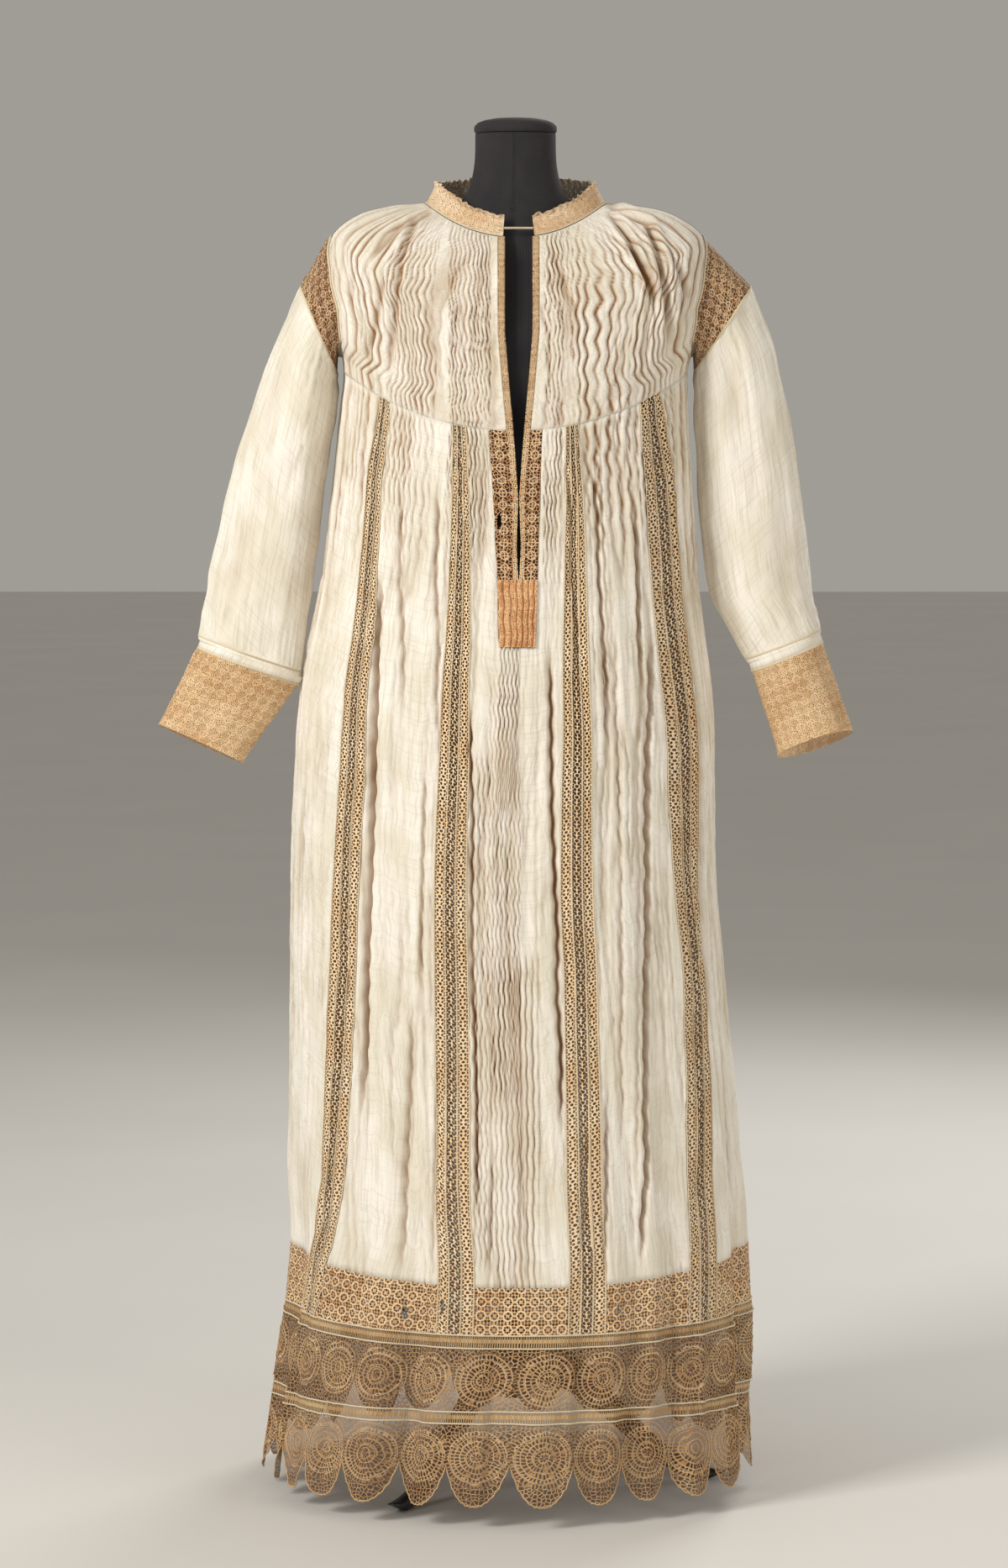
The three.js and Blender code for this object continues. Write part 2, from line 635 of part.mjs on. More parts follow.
/** A corner of the sleeve at a section, with 0 the armhole. */
function sleevePoint(side, k, section, out) {
  const phi = (k / SLEEVE_COLUMNS) * 2 * Math.PI;
  const [cosine, sine] = [Math.cos(phi), Math.sin(phi)];
  const sections = SLEEVES[side < 0 ? "left" : "right"];
  const corner = (n) => {
    const { outerX, outerZ, innerX, innerZ, depth, middle, tilt } = sections[Math.max(0, n - 1)];
    const half = new THREE.Vector3(outerX - innerX, 0, outerZ - innerZ).multiplyScalar(0.5);
    const outward = half.clone().normalize().multiplyScalar(cosine / half.length());
    outward.y = -sine / depth;
    outward.normalize().multiplyScalar(out);
    if (n === 0) {
      const shift = side * ARMHOLE_GAP * (1.5 - cosine / 2);
      return armholeCorner(side, k).add(outward).add(new THREE.Vector3(shift, 0, 0));
    }
    const centre = new THREE.Vector3((outerX + innerX) / 2, middle, (outerZ + innerZ) / 2);
    const around = half.multiplyScalar(cosine).add(new THREE.Vector3(0, -sine * depth, (sine * tilt) / 2));
    return centre.add(around).add(outward);
  };
  const whole = Math.min(Math.floor(section), sections.length - 1);
  return corner(whole).lerp(corner(whole + 1), section - whole);
}

for (const [sideName, side] of Object.entries(SIDES)) {
  for (const { name, material, from, to } of SLEEVE_PIECES) {
    const point = (i, j, outer) => {
      const section = from + j;
      const atStart = j === 0 && from > 0;
      const atEnd = section === to && to < CUFF_END;
      const next = section + (atEnd ? -1 : 1);
      let moved = section;
      if (atStart || atEnd) {
        const length = sleevePoint(side, i, section, 0).distanceTo(sleevePoint(side, i, next, 0));
        moved += ((next - section) * CROSS_SEAM) / 2 / length;
      }
      return sleevePoint(side, i, moved, outer * WALLS[material]);
    };
    add(`${name}_${sideName}`, material, wall({ columns: SLEEVE_COLUMNS, rows: to - from, point, ring: true }));
  }
}

// ---- Dress form ----
// A closed, padded torso that narrows to a round neck with a turned cap.
const TORSO = table(["z", "half", "front", "back"], [
  [850, 156, 112, 126],
  [880, 165, 119, 134],
  [960, 169, 122, 136],
  [1050, 152, 110, 120],
  [1150, 134, 99, 101],
  [1250, 150, 116, 108],
  [1330, 168, 131, 116],
  [1400, 178, 122, 112],
  [1450, 184, 104, 103],
  [1490, 187, 88, 92],
  [1515, 180, 76, 82],
  [1532, 165, 68, 74],
  [1545, 140, 63, 68],
  [1555, 105, 60, 64],
  [1561, 86, 58, 62],
  [1575, 66, 56, 61],
  [1592, 56, 54, 56],
  [1620, 50, 50, 50],
  [1655, 49, 49, 49],
]);
const TORSO_COLUMNS = 20;

function torso() {
  const positions = [0, 0, TORSO[0].z, 0, 0, TORSO.at(-1).z];
  const faces = [];
  for (const { z, half, front, back } of TORSO) {
    for (let k = 0; k < TORSO_COLUMNS; k++) {
      const angle = (k / TORSO_COLUMNS) * 2 * Math.PI;
      const [sine, cosine] = [Math.sin(angle), Math.cos(angle)];
      const depth = cosine > 0 ? front : back;
      positions.push(half * signedPower(sine, SQUARENESS), -depth * signedPower(cosine, SQUARENESS), z);
    }
  }
  const corner = (row, k) => 2 + row * TORSO_COLUMNS + (k % TORSO_COLUMNS);
  const top = TORSO.length - 1;
  for (let k = 0; k < TORSO_COLUMNS; k++) {
    faces.push(0, corner(0, k), corner(0, k + 1), 1, corner(top, k + 1), corner(top, k));
    for (let row = 0; row < top; row++) {
      const [a, b, c, d] = [corner(row, k), corner(row, k + 1), corner(row + 1, k + 1), corner(row + 1, k)];
      faces.push(a, c, b, a, d, c);
    }
  }
  return closed(positions, faces);
}
add("form_torso", "jersey", torso());

const CAP_PROFILE = [[0, 0.3], [47, 0.3], [50.5, 3], [50.5, 9], [46, 14], [30, 18], [0, 20]];
const NECK_CAP = table(["radius", "height"], CAP_PROFILE);
const capProfile = NECK_CAP.map(({ radius, height }) => new THREE.Vector2(radius, TORSO.at(-1).z + height));
add("form_neck_cap", "jersey", new THREE.LatheGeometry(capProfile, 24).rotateX(Math.PI / 2));

// ---- Stand ----
const POLE_RADIUS = 11;
const HUB = { radius: 20, bottom: 100, top: 190 };
const LEG_ANGLES = [-5, -125, 115];
const LEG_THICKNESS = 14;
const LEG_ROOT = 8; // distance from the pole's axis at which a leg starts, inside the hub
const FOOT = { heel: 236, toe: 262, height: 12 };
// The two points that each of a leg's curves bends towards, as distance from the axis and height.
const LEG_TOP = [110, 175, 150, 20];
const LEG_UNDERSIDE = [150, 6, 90, 140];

const poleBottom = HUB.top + SEAM;
const poleTop = TORSO[0].z - SEAM;
const poleShape = new THREE.CylinderGeometry(POLE_RADIUS, POLE_RADIUS, poleTop - poleBottom, 12);
const pole = add("stand_pole", "metal", poleShape.rotateX(Math.PI / 2));
pole.position.z = (poleTop + poleBottom) / 2;

/** A curved leg with a flat foot, in the plane of its own run. */
function leg() {
  const outline = new THREE.Shape();
  outline.moveTo(LEG_ROOT, HUB.top - FOOT.height);
  outline.bezierCurveTo(...LEG_TOP, FOOT.toe, FOOT.height);
  outline.lineTo(FOOT.toe, 0);
  outline.lineTo(FOOT.heel, 0);
  outline.bezierCurveTo(...LEG_UNDERSIDE, LEG_ROOT, HUB.bottom + FOOT.height);
  outline.closePath();
  const settings = { depth: LEG_THICKNESS, bevelEnabled: false, curveSegments: 10 };
  return new THREE.ExtrudeGeometry(outline, settings).translate(0, 0, -LEG_THICKNESS / 2).rotateX(Math.PI / 2);
}
const hubHeight = HUB.top - HUB.bottom;
const hub = new THREE.CylinderGeometry(HUB.radius, HUB.radius, hubHeight, 16).rotateX(Math.PI / 2);
hub.translate(0, 0, (HUB.top + HUB.bottom) / 2);
const legs = LEG_ANGLES.map((angle) => leg().rotateZ(rad(angle)));
add("stand_base", "metal", combine(hub, legs, "add"));

// The part's origin is on the floor, under the middle of its box.
const part = new THREE.Group().add(alb);
const middle = new THREE.Box3().setFromObject(alb, true).getCenter(new THREE.Vector3());
alb.position.set(-middle.x, -middle.y, 0);

export default part;
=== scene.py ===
# %% [markdown]
# # An alb with lace insertions, on a dress form
# An alb is the long white linen garment that is worn under a chasuble. This one has a finely pleated yoke,
# eight lace insertions down the skirt, lace cuffs and a deep lace flounce that ends in scallops. It hangs
# on a dark dress form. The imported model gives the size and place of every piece. The cloth is made here
# again over the same surface, as thin cloth with real pleats, and the lace gets its threads and holes.

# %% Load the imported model
import math

import bpy
import numpy as np
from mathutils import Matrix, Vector


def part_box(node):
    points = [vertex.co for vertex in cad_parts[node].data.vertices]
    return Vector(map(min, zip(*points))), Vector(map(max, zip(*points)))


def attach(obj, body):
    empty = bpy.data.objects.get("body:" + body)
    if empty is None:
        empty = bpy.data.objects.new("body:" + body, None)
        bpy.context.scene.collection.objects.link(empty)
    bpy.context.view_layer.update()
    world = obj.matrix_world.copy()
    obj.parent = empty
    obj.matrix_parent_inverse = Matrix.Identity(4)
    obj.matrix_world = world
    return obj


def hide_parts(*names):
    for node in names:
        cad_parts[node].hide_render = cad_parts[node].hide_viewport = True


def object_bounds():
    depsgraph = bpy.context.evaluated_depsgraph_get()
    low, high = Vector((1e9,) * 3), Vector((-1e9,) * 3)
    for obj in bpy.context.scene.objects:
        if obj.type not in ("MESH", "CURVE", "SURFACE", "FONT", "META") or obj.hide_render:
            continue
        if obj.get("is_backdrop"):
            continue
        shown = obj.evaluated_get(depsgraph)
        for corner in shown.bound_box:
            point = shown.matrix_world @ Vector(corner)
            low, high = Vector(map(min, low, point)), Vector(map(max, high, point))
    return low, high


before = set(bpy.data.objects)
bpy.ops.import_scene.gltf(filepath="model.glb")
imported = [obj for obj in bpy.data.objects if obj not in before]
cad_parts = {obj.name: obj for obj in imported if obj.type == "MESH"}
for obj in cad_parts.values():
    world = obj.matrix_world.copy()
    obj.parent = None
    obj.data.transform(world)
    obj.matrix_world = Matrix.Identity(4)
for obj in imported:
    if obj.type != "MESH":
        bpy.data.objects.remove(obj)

cad_low, cad_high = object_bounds()
print("packed model:", len(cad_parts), "nodes,", [round(side, 3) for side in cad_high - cad_low], "m")

# %% [markdown]
# The garment is drawn in millimetres around the dress form's own axis, because cloth is measured that way.
# Blender works in metres, and the part's origin is under the middle of its box. The pole stands on the
# form's axis, so its box gives the shift between the two.

# %% Units and the form's axis
MM = 0.001
pole_low, pole_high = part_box("stand_pole")
AXIS = np.array([(pole_low.x + pole_high.x) / 2, (pole_low.y + pole_high.y) / 2, 0])
print("the form's axis is at", AXIS.round(4))


def to_metres(points):
    """Points in millimetres around the form's axis, as metres in the part's frame."""
    return np.asarray(points) * MM + AXIS


def placed(name, data):
    """An object that brings a camera, a light or a mesh into the scene."""
    made = bpy.data.objects.new(name, data)
    bpy.context.scene.collection.objects.link(made)
    return made


# %% [markdown]
# ## Camera, light and floor
# A long lens far away keeps the garment's width true from yoke to hem. The light is one large soft lamp
# high on the left, which rakes over the pleats, a weak one on the right and a pale sky. The holes in the lace
# stay darker than its threads partly by this light and partly by painted shade in the lace's colour. The
# floor is plain.

# %% Camera
CAMERA_AT = (-14, -6000, 1318)
CAMERA_LOOKS_AT = (-14, 0, 862)
FOCAL_SHARE = 3.1217  # focal length as a share of the frame's long side
SENSOR = 36

camera_data = bpy.data.cameras.new("camera")
camera_data.sensor_width = SENSOR
camera_data.lens = FOCAL_SHARE * SENSOR
camera = placed("camera", camera_data)
camera.location = to_metres(CAMERA_AT)
look = Vector(to_metres(CAMERA_LOOKS_AT)) - camera.location
camera.rotation_euler = look.to_track_quat("-Z", "Y").to_euler()
bpy.context.scene.camera = camera
print("lens", round(camera_data.lens, 1), "mm")


# %% Lights and floor
LAMPS_LOOK_AT = Vector((0, 0, 0.9))
SKY_STRENGTH = 0.42


def soft_lamp(name, place, size, power, colour):
    """A square lamp that faces the middle of the garment."""
    data = bpy.data.lights.new(name, "AREA")
    data.size, data.energy, data.color = size, power, colour
    lamp = placed(name, data)
    lamp.location = place
    lamp.rotation_euler = (LAMPS_LOOK_AT - lamp.location).to_track_quat("-Z", "Y").to_euler()


soft_lamp("key", (-2.9, -2.6, 3.0), 1.3, 146, (1, 0.97, 0.92))
soft_lamp("fill", (3.2, -3.0, 1.6), 2.2, 54, (1, 0.95, 0.88))
soft_lamp("rim", (1.6, 3.4, 2.8), 1.6, 70, (1, 0.98, 0.95))

sky = bpy.data.worlds.new("sky")
sky.use_nodes = True
background = sky.node_tree.nodes["Background"].inputs
background["Color"].default_value = (0.84, 0.80, 0.73, 1)
background["Strength"].default_value = SKY_STRENGTH
bpy.context.scene.world = sky
bpy.context.scene.view_settings.view_transform = "Standard"

HALF_FLOOR = 30
floor_mesh = bpy.data.meshes.new("floor")
corners = [(x * HALF_FLOOR, y * HALF_FLOOR, 0) for x, y in ((-1, -1), (1, -1), (1, 1), (-1, 1))]
floor_mesh.from_pydata(corners, [], [(0, 1, 2, 3)])
placed("floor", floor_mesh)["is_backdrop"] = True

# %% [markdown]
# ## The garment's surface
# Everything that is worn lies on one smooth surface. It is swept through rings, from the neck seam at step
# 0 to the tips of the hem at step 24, and an angle says how far round the body a place is: 0 is the middle
# of the front, and angles grow towards +X. A ring dips at the front and back, so it has a height at its
# side, front and back.

# %% Rings
# centre, half width, depth in front, depth at the back, height at the side, front and back
RINGS = np.array([
    [0, 110, 84, 74, 1570, 1527, 1583], [0, 150, 103, 98, 1567, 1500, 1560],
    [0, 190, 118, 115, 1557, 1465, 1520], [2, 224, 130, 128, 1532, 1430, 1478],
    [2, 234, 138, 136, 1490, 1396, 1436], [2, 228, 143, 142, 1445, 1362, 1395],
    [1, 217, 147, 147, 1402, 1329, 1355], [0, 209, 150, 150, 1366, 1296, 1320],
    [-3, 213, 155, 158, 1290, 1235, 1250], [-5, 222, 162, 168, 1190, 1165, 1170],
    [-8, 234, 170, 178, 1090, 1080, 1082], [-11, 247, 178, 188, 1010, 1005, 1005],
    [-12, 256, 186, 198, 930, 926, 926], [-14, 259, 196, 210, 840, 836, 836],
    [-14, 261, 208, 222, 740, 734, 736], [-9, 267, 220, 236, 620, 612, 616],
    [-4, 273, 235, 250, 502, 492, 498], [0, 279, 252, 266, 392, 380, 388],
    [4, 281, 264, 277, 335, 318, 342], [5, 283, 271, 285, 300, 284, 315],
    [4, 287, 282, 294, 230, 229, 242], [3, 290, 285, 296, 216, 214, 227],
    [-4, 298, 294, 303, 131, 140, 144], [-5, 299, 296, 304, 117, 126, 130],
    [-10, 309, 304, 310, 22, 27, 24],
], float)
YOKE_SEAM, LINEN_HEM, INSERTION_END, FLOUNCE_TOP, SECOND_HEADER, SCALLOP_TOP, HEM = 7, 19, 20, 21, 22, 23, 24
SQUARENESS = 0.92  # 1 is an ellipse, less is a fuller ring
TURN = 2 * math.pi


def blended(rows, at):
    """The rows of a table at places between them, on a smooth curve through all of them."""
    last = len(rows) - 1
    at = np.clip(at, 0, last)
    k = np.minimum(at.astype(int), last - 1)
    x = (at - k)[..., None]
    before, a, b, after = (rows[np.clip(k + n, 0, last)] for n in (-1, 0, 1, 2))
    slope_a, slope_b = (b - before) / 2, (after - a) / 2
    square, cube = 3 * (b - a) - 2 * slope_a - slope_b, 2 * (a - b) + slope_a + slope_b
    return a + x * (slope_a + x * (square + x * cube))


def signed_power(x, power):
    return np.sign(x) * np.abs(x) ** power


def ring_at(step):
    """A ring between the rows. The two headers are straight tapes, so there it is blended straight."""
    whole = np.clip(np.floor(step), 0, HEM - 1)
    low, share = RINGS[whole.astype(int)], (step - whole)[..., None]
    straight = low + (RINGS[whole.astype(int) + 1] - low) * share
    return np.where(np.isin(whole, (INSERTION_END, SECOND_HEADER))[..., None], straight, blended(RINGS, step))


def full_ring(angle, half, front, back, z_side, z_front, z_back):
    """Points of a ring that is fuller than an ellipse, with its own depth and height in front and behind."""
    along = np.cos(angle)
    depth, middle = np.where(along > 0, front, back), np.where(along > 0, z_front, z_back)
    x = half * signed_power(np.sin(angle), SQUARENESS)
    y = -depth * signed_power(along, SQUARENESS)
    return np.stack([x, y, z_side + (middle - z_side) * along**2], -1)


def surface(angle, step):
    """Points of the smooth surface, in millimetres."""
    angle, step = np.broadcast_arrays(np.asarray(angle, float), np.asarray(step, float))
    centre, *ring = np.moveaxis(ring_at(step), -1, 0)
    points = full_ring(angle, *ring)
    points[..., 0] += centre
    return points


def unit(vectors):
    return vectors / np.maximum(np.linalg.norm(vectors, axis=-1, keepdims=True), 1e-9)


NEAR_ANGLE, NEAR_STEP = 0.004, 0.01  # how far apart two places are when the run of the surface is measured


def across_at(angle, step):
    """How the surface runs, for each radian of angle."""
    return (surface(angle + NEAR_ANGLE, step) - surface(angle - NEAR_ANGLE, step)) / (2 * NEAR_ANGLE)


def outward_at(angle, step):
    down = surface(angle, step + NEAR_STEP) - surface(angle, step - NEAR_STEP)
    return unit(np.cross(down, across_at(angle, step)))


print("waist of the garment:", surface([-math.pi / 2, math.pi / 2], [10, 10])[:, 0].round(), "mm")

# %% [markdown]
# The skirt hangs in deep folds that start between the hip and the knee and are deepest at the hem. They are
# hollows in the surface, each as deep as a share of its depth at the hem, so that cloth, lace and cords can
# all follow them.

# %% Deep folds of the skirt
# angle in degrees, depth at the hem, width in degrees, step at which it starts
DRAPE = np.array([
    [-25, 26, 5, 9], [-3, 13, 4, 16], [15, 15, 5, 16], [28, 18, 5, 14], [39, 20, 4, 11], [72, 26, 6, 13],
    [100, 20, 7, 12], [124, 22, 6, 12], [150, 18, 6, 14], [176, 22, 6, 11], [-152, 20, 6, 13],
    [-126, 22, 6, 12], [-101, 20, 7, 13], [-74, 18, 6, 13],
], float)


def ease(x):
    x = np.clip(x, 0, 1)
    return x * x * (3 - 2 * x)


def between(x, low, high, soft):
    """1 between two values, fading to 0 over a soft width outside them."""
    return ease((x - low + soft) / soft) * ease((high + soft - x) / soft)


def wrapped(angle):
    """An angle as one between half a turn to the left and half a turn to the right."""
    return np.mod(angle + math.pi, TURN) - math.pi


def drape(angle, step):
    """How far the surface lies out of its ring. It is less than 0 in the folds."""
    depth = 0
    for where, deep, wide, start in DRAPE:
        off = wrapped(angle - math.radians(where))
        grown = ease((step - start) / (HEM - start))
        depth = depth + deep * grown * np.exp(-((off / math.radians(wide)) ** 2))
    return -depth


# %% [markdown]
# ## Seam lines
# Each seam is an angle that changes with the step. The front opening and the two lines of the armholes
# shape the yoke, and the insertions divide the skirt into eight panels. Between the rows of a table a seam
# runs straight.

# %% Seams
SIDES = {"left": -1, "right": 1}
SLIT_X = 3.5
# step, half of the opening's width, width of the lace edging beside it
SLIT = np.array([
    [0, 16.5, 8.5], [3.5, 16.5, 8.5], [7, 6.4, 8], [8.3, 0.5, 6.5], [9.1, 2.6, 5], [9.55, 0.5, 6],
])
# step, left and right edge of the notch in the front of the skirt
NOTCH = np.array([[7, -32, 32], [9.55, -22, 26], [10.55, -20, 23]])
GUSSET_TOP, GUSSET_END = 9.55, 10.55
# step, how far the armhole's edge lies before and behind the side
ARMHOLE = np.array([[3, 8], [3.8, 42], [4.8, 56], [5.8, 44], [6.5, 0]])
SHOULDER_POINT, UNDERARM = 3, 6.5
# step, the centre lines' angles (outer left, inner left, inner right, outer right), width, and the width of
# the outer right one
INSERTIONS = np.array([
    [7, -47, -17, 17, 49, 16, 34], [8.3, -48.6, -15, 18.3, 53.8, 21, 50],
    [10.55, -44.7, -12.6, 17.8, 55.4, 30, 60], [12.6, -43.8, -12.2, 17.7, 56.5, 37, 60],
    [14.6, -46.4, -12.9, 17.7, 58, 40, 52], [16.8, -51, -13.9, 15.4, 51.7, 43, 44],
    [20, -62, -14, 14.7, 49.3, 46, 46],
])
INSERTION_NAMES = {
    "front_outer_left": (1, False), "front_inner_left": (2, False), "front_inner_right": (3, False),
    "front_outer_right": (4, False), "back_outer_right": (4, True), "back_inner_right": (3, True),
    "back_inner_left": (2, True), "back_outer_left": (1, True),
}


def along_rows(rows, step, column):
    return np.interp(step, rows[:, 0], rows[:, column])


def aside(angle, step, length):
    """An angle moved sideways over the surface by a length."""
    return angle + length / np.linalg.norm(across_at(angle, step), axis=-1)


def angle_at_x(x, step):
    centre, half = np.moveaxis(blended(RINGS, np.asarray(step, float))[..., :2], -1, 0)
    return np.arcsin(signed_power(np.clip((x - centre) / half, -0.999, 0.999), 1 / SQUARENESS))


def slit_edge(side, step, out=0):
    return angle_at_x(SLIT_X + side * (along_rows(SLIT, step, 1) + out), step)


def edging_edge(side, step):
    return slit_edge(side, step, along_rows(SLIT, step, 2))


def notch_edge(side, step):
    return angle_at_x(along_rows(NOTCH, step, 1 if side < 0 else 2), step)


def arm_edge(side, step, on_back):
    """The angle of the armhole's or shoulder strip's edge, before the side or behind it."""
    depth = blended(RINGS, np.asarray(step, float))[..., 3 if on_back else 2]
    off = np.arcsin(np.minimum(1, along_rows(ARMHOLE, step, 1) / depth) ** (1 / SQUARENESS))
    return side * (math.pi / 2 + (off if on_back else -off))


def insertion_edge(insertion, step, edge):
    """The angle of an insertion's edge: -1 and 1 are its edges, 0 its middle."""
    column, on_back = INSERTION_NAMES[insertion]
    front = np.radians(along_rows(INSERTIONS, step, column))
    centre = math.pi - front if on_back else front
    return aside(centre, step, edge * along_rows(INSERTIONS, step, 6 if column == 4 else 5) / 2)


# %% [markdown]
# ## Unevenness
# Hand-pleated linen never repeats itself. Two small helpers give every pleat its own course: a value noise,
# which blends fixed random numbers on a grid, and a zigzag with soft corners, which is the wave that
# pressed pleats fall into. Both give the same numbers at every run.

# %% Noise and zigzag
def grid_numbers(i, j, seed):
    return 2 * np.modf(np.abs(np.sin(i * 127.1 + j * 311.7 + seed * 74.7)) * 43758.5453)[0] - 1


def uneven(x, y, seed):
    """Smooth noise between -1 and 1 that changes over about one unit."""
    i, j = np.floor(x), np.floor(y)
    fx, fy = ease(x - i), ease(y - j)
    top = grid_numbers(i, j, seed) * (1 - fx) + grid_numbers(i + 1, j, seed) * fx
    low = grid_numbers(i, j + 1, seed) * (1 - fx) + grid_numbers(i + 1, j + 1, seed) * fx
    return top * (1 - fy) + low * fy


def zigzag(t):
    return np.arcsin(0.96 * np.sin(TURN * t)) / 1.29


def pleated(phase, sharpness=2.5):
    """Height of a row of pleats, 0 in the narrow valleys and 1 on the round ridges."""
    return 1 - (1 - np.abs(np.sin(math.pi * phase))) ** sharpness


# %% [markdown]
# ## Shader maths
# A pattern of lace is a sum of small formulas. Wrapping a socket in a class lets them be written as Python:
# each operator adds the Math node that works it out. Anything that isn't a plain number formula goes
# through one method for nodes.

# %% Shader helper
class Value:
    """A number that varies over a surface: one output socket of a material's tree."""

    def __init__(self, finish, socket):
        self.finish, self.socket = finish, socket

    def maths(self, operation, *others):
        return self.finish.node("ShaderNodeMath", {"operation": operation}, enumerate([self, *others]))

    def __add__(self, other):
        return self.maths("ADD", other)

    def __mul__(self, other):
        return self.maths("MULTIPLY", other)

    def __sub__(self, other):
        return self.maths("SUBTRACT", other)

    def __truediv__(self, other):
        return self.maths("DIVIDE", other)

    def __rsub__(self, other):
        return self.finish.number(other).maths("SUBTRACT", self)

    __radd__, __rmul__ = __add__, __mul__

    def least(self, other):
        return self.maths("MINIMUM", other)

    def most(self, other):
        return self.maths("MAXIMUM", other)

    def below(self, limit, soft):
        """1 where this is under a limit, 0 where it is over it, with a soft step between."""
        ends = {1: limit - soft, 2: limit + soft, 3: 1.0, 4: 0.0}
        return self.finish.node("ShaderNodeMapRange", {"interpolation_type": "SMOOTHSTEP"}, {0: self, **ends})

    def above(self, limit, soft):
        return 1 - self.below(limit, soft)

    def near(self, middle, limit, soft):
        """1 where this is nearer to a value than a limit."""
        return (self - middle).maths("ABSOLUTE").below(limit, soft)

    def off_half(self):
        """0 halfway between two whole numbers, 1 at each of them."""
        return (self.maths("FRACT") - 0.5).maths("ABSOLUTE") * 2

    def fold(self, period):
        """The distance to the nearest multiple of a period, as a share of half of it."""
        return (self / period + 0.5).off_half()


class Finish:
    """A material, with methods that add nodes to it."""

    def __init__(self, name):
        self.material = bpy.data.materials.new(name)
        self.material.use_nodes = True
        self.tree = self.material.node_tree
        self.shader = self.tree.nodes["Principled BSDF"]

    def fill(self, socket, value):
        if isinstance(value, Value):
            self.tree.links.new(value.socket, socket)
        else:
            socket.default_value = value

    def node(self, kind, settings=(), values=(), output=0):
        """Any node: its settings first, then the values or links of its sockets, by name or place."""
        made = self.tree.nodes.new(kind)
        for key, setting in dict(settings).items():
            setattr(made, key, setting)
        for key, value in dict(values).items():
            self.fill(made.inputs[key], value)
        return Value(self, made.outputs[output])

    def number(self, value):
        return self.node("ShaderNodeMath", {"operation": "ADD"}, {0: value, 1: 0.0})

    def cloth(self):
        """The two measures along and across the cloth, in millimetres."""
        place = self.node("ShaderNodeUVMap", {"uv_map": "cloth"})
        return (self.node("ShaderNodeSeparateXYZ", (), {0: place}, output) for output in (0, 1))

    def vector(self, x, y, z=0.0):
        return self.node("ShaderNodeCombineXYZ", (), {0: x, 1: y, 2: z})

    def noise(self, x, y, detail=2.0, place=None, scale=1.0):
        """Soft noise over two measures, or over a place, from about 0 to 1."""
        values = {"Vector": place or self.vector(x, y), "Scale": scale, "Detail": detail}
        return self.node("ShaderNodeTexNoise", (), values, "Fac")

    def attribute(self, name):
        return self.node("ShaderNodeAttribute", {"attribute_name": name}, (), "Fac")

    def mix(self, share, first, second):
        """A colour between two colours."""
        colours = {"Factor": share, 6: first, 7: second}
        return self.node("ShaderNodeMix", {"data_type": "RGBA"}, colours, 2)

    def bump(self, height, depth):
        """A relief: height from 0 to 1, and its depth in metres."""
        values = {"Height": height, "Distance": depth, "Strength": 1.0}
        return self.node("ShaderNodeBump", (), values, "Normal")

    def set(self, **sockets):
        for name, value in sockets.items():
            self.fill(self.shader.inputs[name.replace("_", " ")], value)
        return self.material


def colour(red, green, blue):
    """A colour as a paint chart gives it, from 0 to 255, as Blender's light values."""
    shares = [part / 255 for part in (red, green, blue)]
    return (*[s / 12.92 if s <= 0.04045 else ((s + 0.055) / 1.055) ** 2.4 for s in shares], 1)


# %% [markdown]
# ## Linen
# Old linen is ivory, cooler where one thin layer lies alone and warmer in its creases, where light has
# passed through the cloth twice. Its yarn is uneven, so thicker threads, the slubs, show as faint streaks
# both ways. The weave itself is a fine relief. The pleats' valleys and creases get painted shade: a warm
# dark brown mixed into the colour by how deep a point lies, which the mesh carries.

# %% Linen finish
THREAD_PITCH = 0.75


def linen_finish():
    finish = Finish("aged_linen")
    across, down = finish.cloth()
    warp = finish.noise(across * 0.36, down * 0.016, 4.0)
    weft = finish.noise(across * 0.016, down * 0.36, 4.0)
    cloud = finish.noise(across * 0.014, down * 0.009, 3.0)
    base = finish.mix(cloud.above(0.5, 0.12), colour(243, 238, 228), colour(230, 223, 206))
    base = finish.mix(warp.above(0.56, 0.08) * 0.38, base, colour(196, 188, 164))
    base = finish.mix(weft.above(0.58, 0.08) * 0.26, base, colour(200, 192, 168))
    # painted shade: the pleats' valleys and creases are darkened to warm brown, by how deep each point lies
    base = finish.mix(finish.attribute("crease_shade"), base, colour(150, 106, 56))
    weave = (across.fold(THREAD_PITCH) + down.fold(THREAD_PITCH)) * 0.18
    relief = finish.bump(weave + warp * 0.5 + weft * 0.5, 0.00022)
    return finish.set(Base_Color=base, Roughness=0.86, Normal=relief, Sheen_Weight=0.12, Sheen_Roughness=0.5)


LINEN = linen_finish()

# %% [markdown]
# ## Lace
# Lace could be modelled thread by thread, but the flounce alone would need millions of faces. So its fine
# threads are a mask over a thin sheet: the pattern is worked out from the two measures across and along the
# cloth, and the holes are cut through with Alpha. Fine threads partly fill the holes, and there the colour is
# painted dark brown as shade. The thick cords, wheel rims and scallop edges are real threads that are laid
# on top.

# %% Lace finish
def net(finish, across, down, cell, thread):
    """A hand-made net: the borders between irregular cells are its threads."""
    settings = {"feature": "DISTANCE_TO_EDGE", "voronoi_dimensions": "2D"}
    values = {"Vector": finish.vector(across / cell, down / cell), "Scale": 1.0, "Randomness": 0.85}
    return finish.node("ShaderNodeTexVoronoi", settings, values, "Distance").below(thread, 0.05)


def distance(x, y):
    return (x * x + y * y).maths("SQRT")


def off_holes(a, b, holes):
    """How far a place lies outside the nearest of some round or oval holes."""
    x, y, wide, tall, radius = holes[0]
    off = distance((a - x) * wide, (b - y) * tall) - radius
    return off.least(off_holes(a, b, holes[1:])) if len(holes) > 1 else off


# painted shade: the dark brown put into the lace's holes, where fine threads partly fill them
PAINTED_HOLE_SHADE = (74, 52, 32)  # the threads deep in a hole, which are in shade


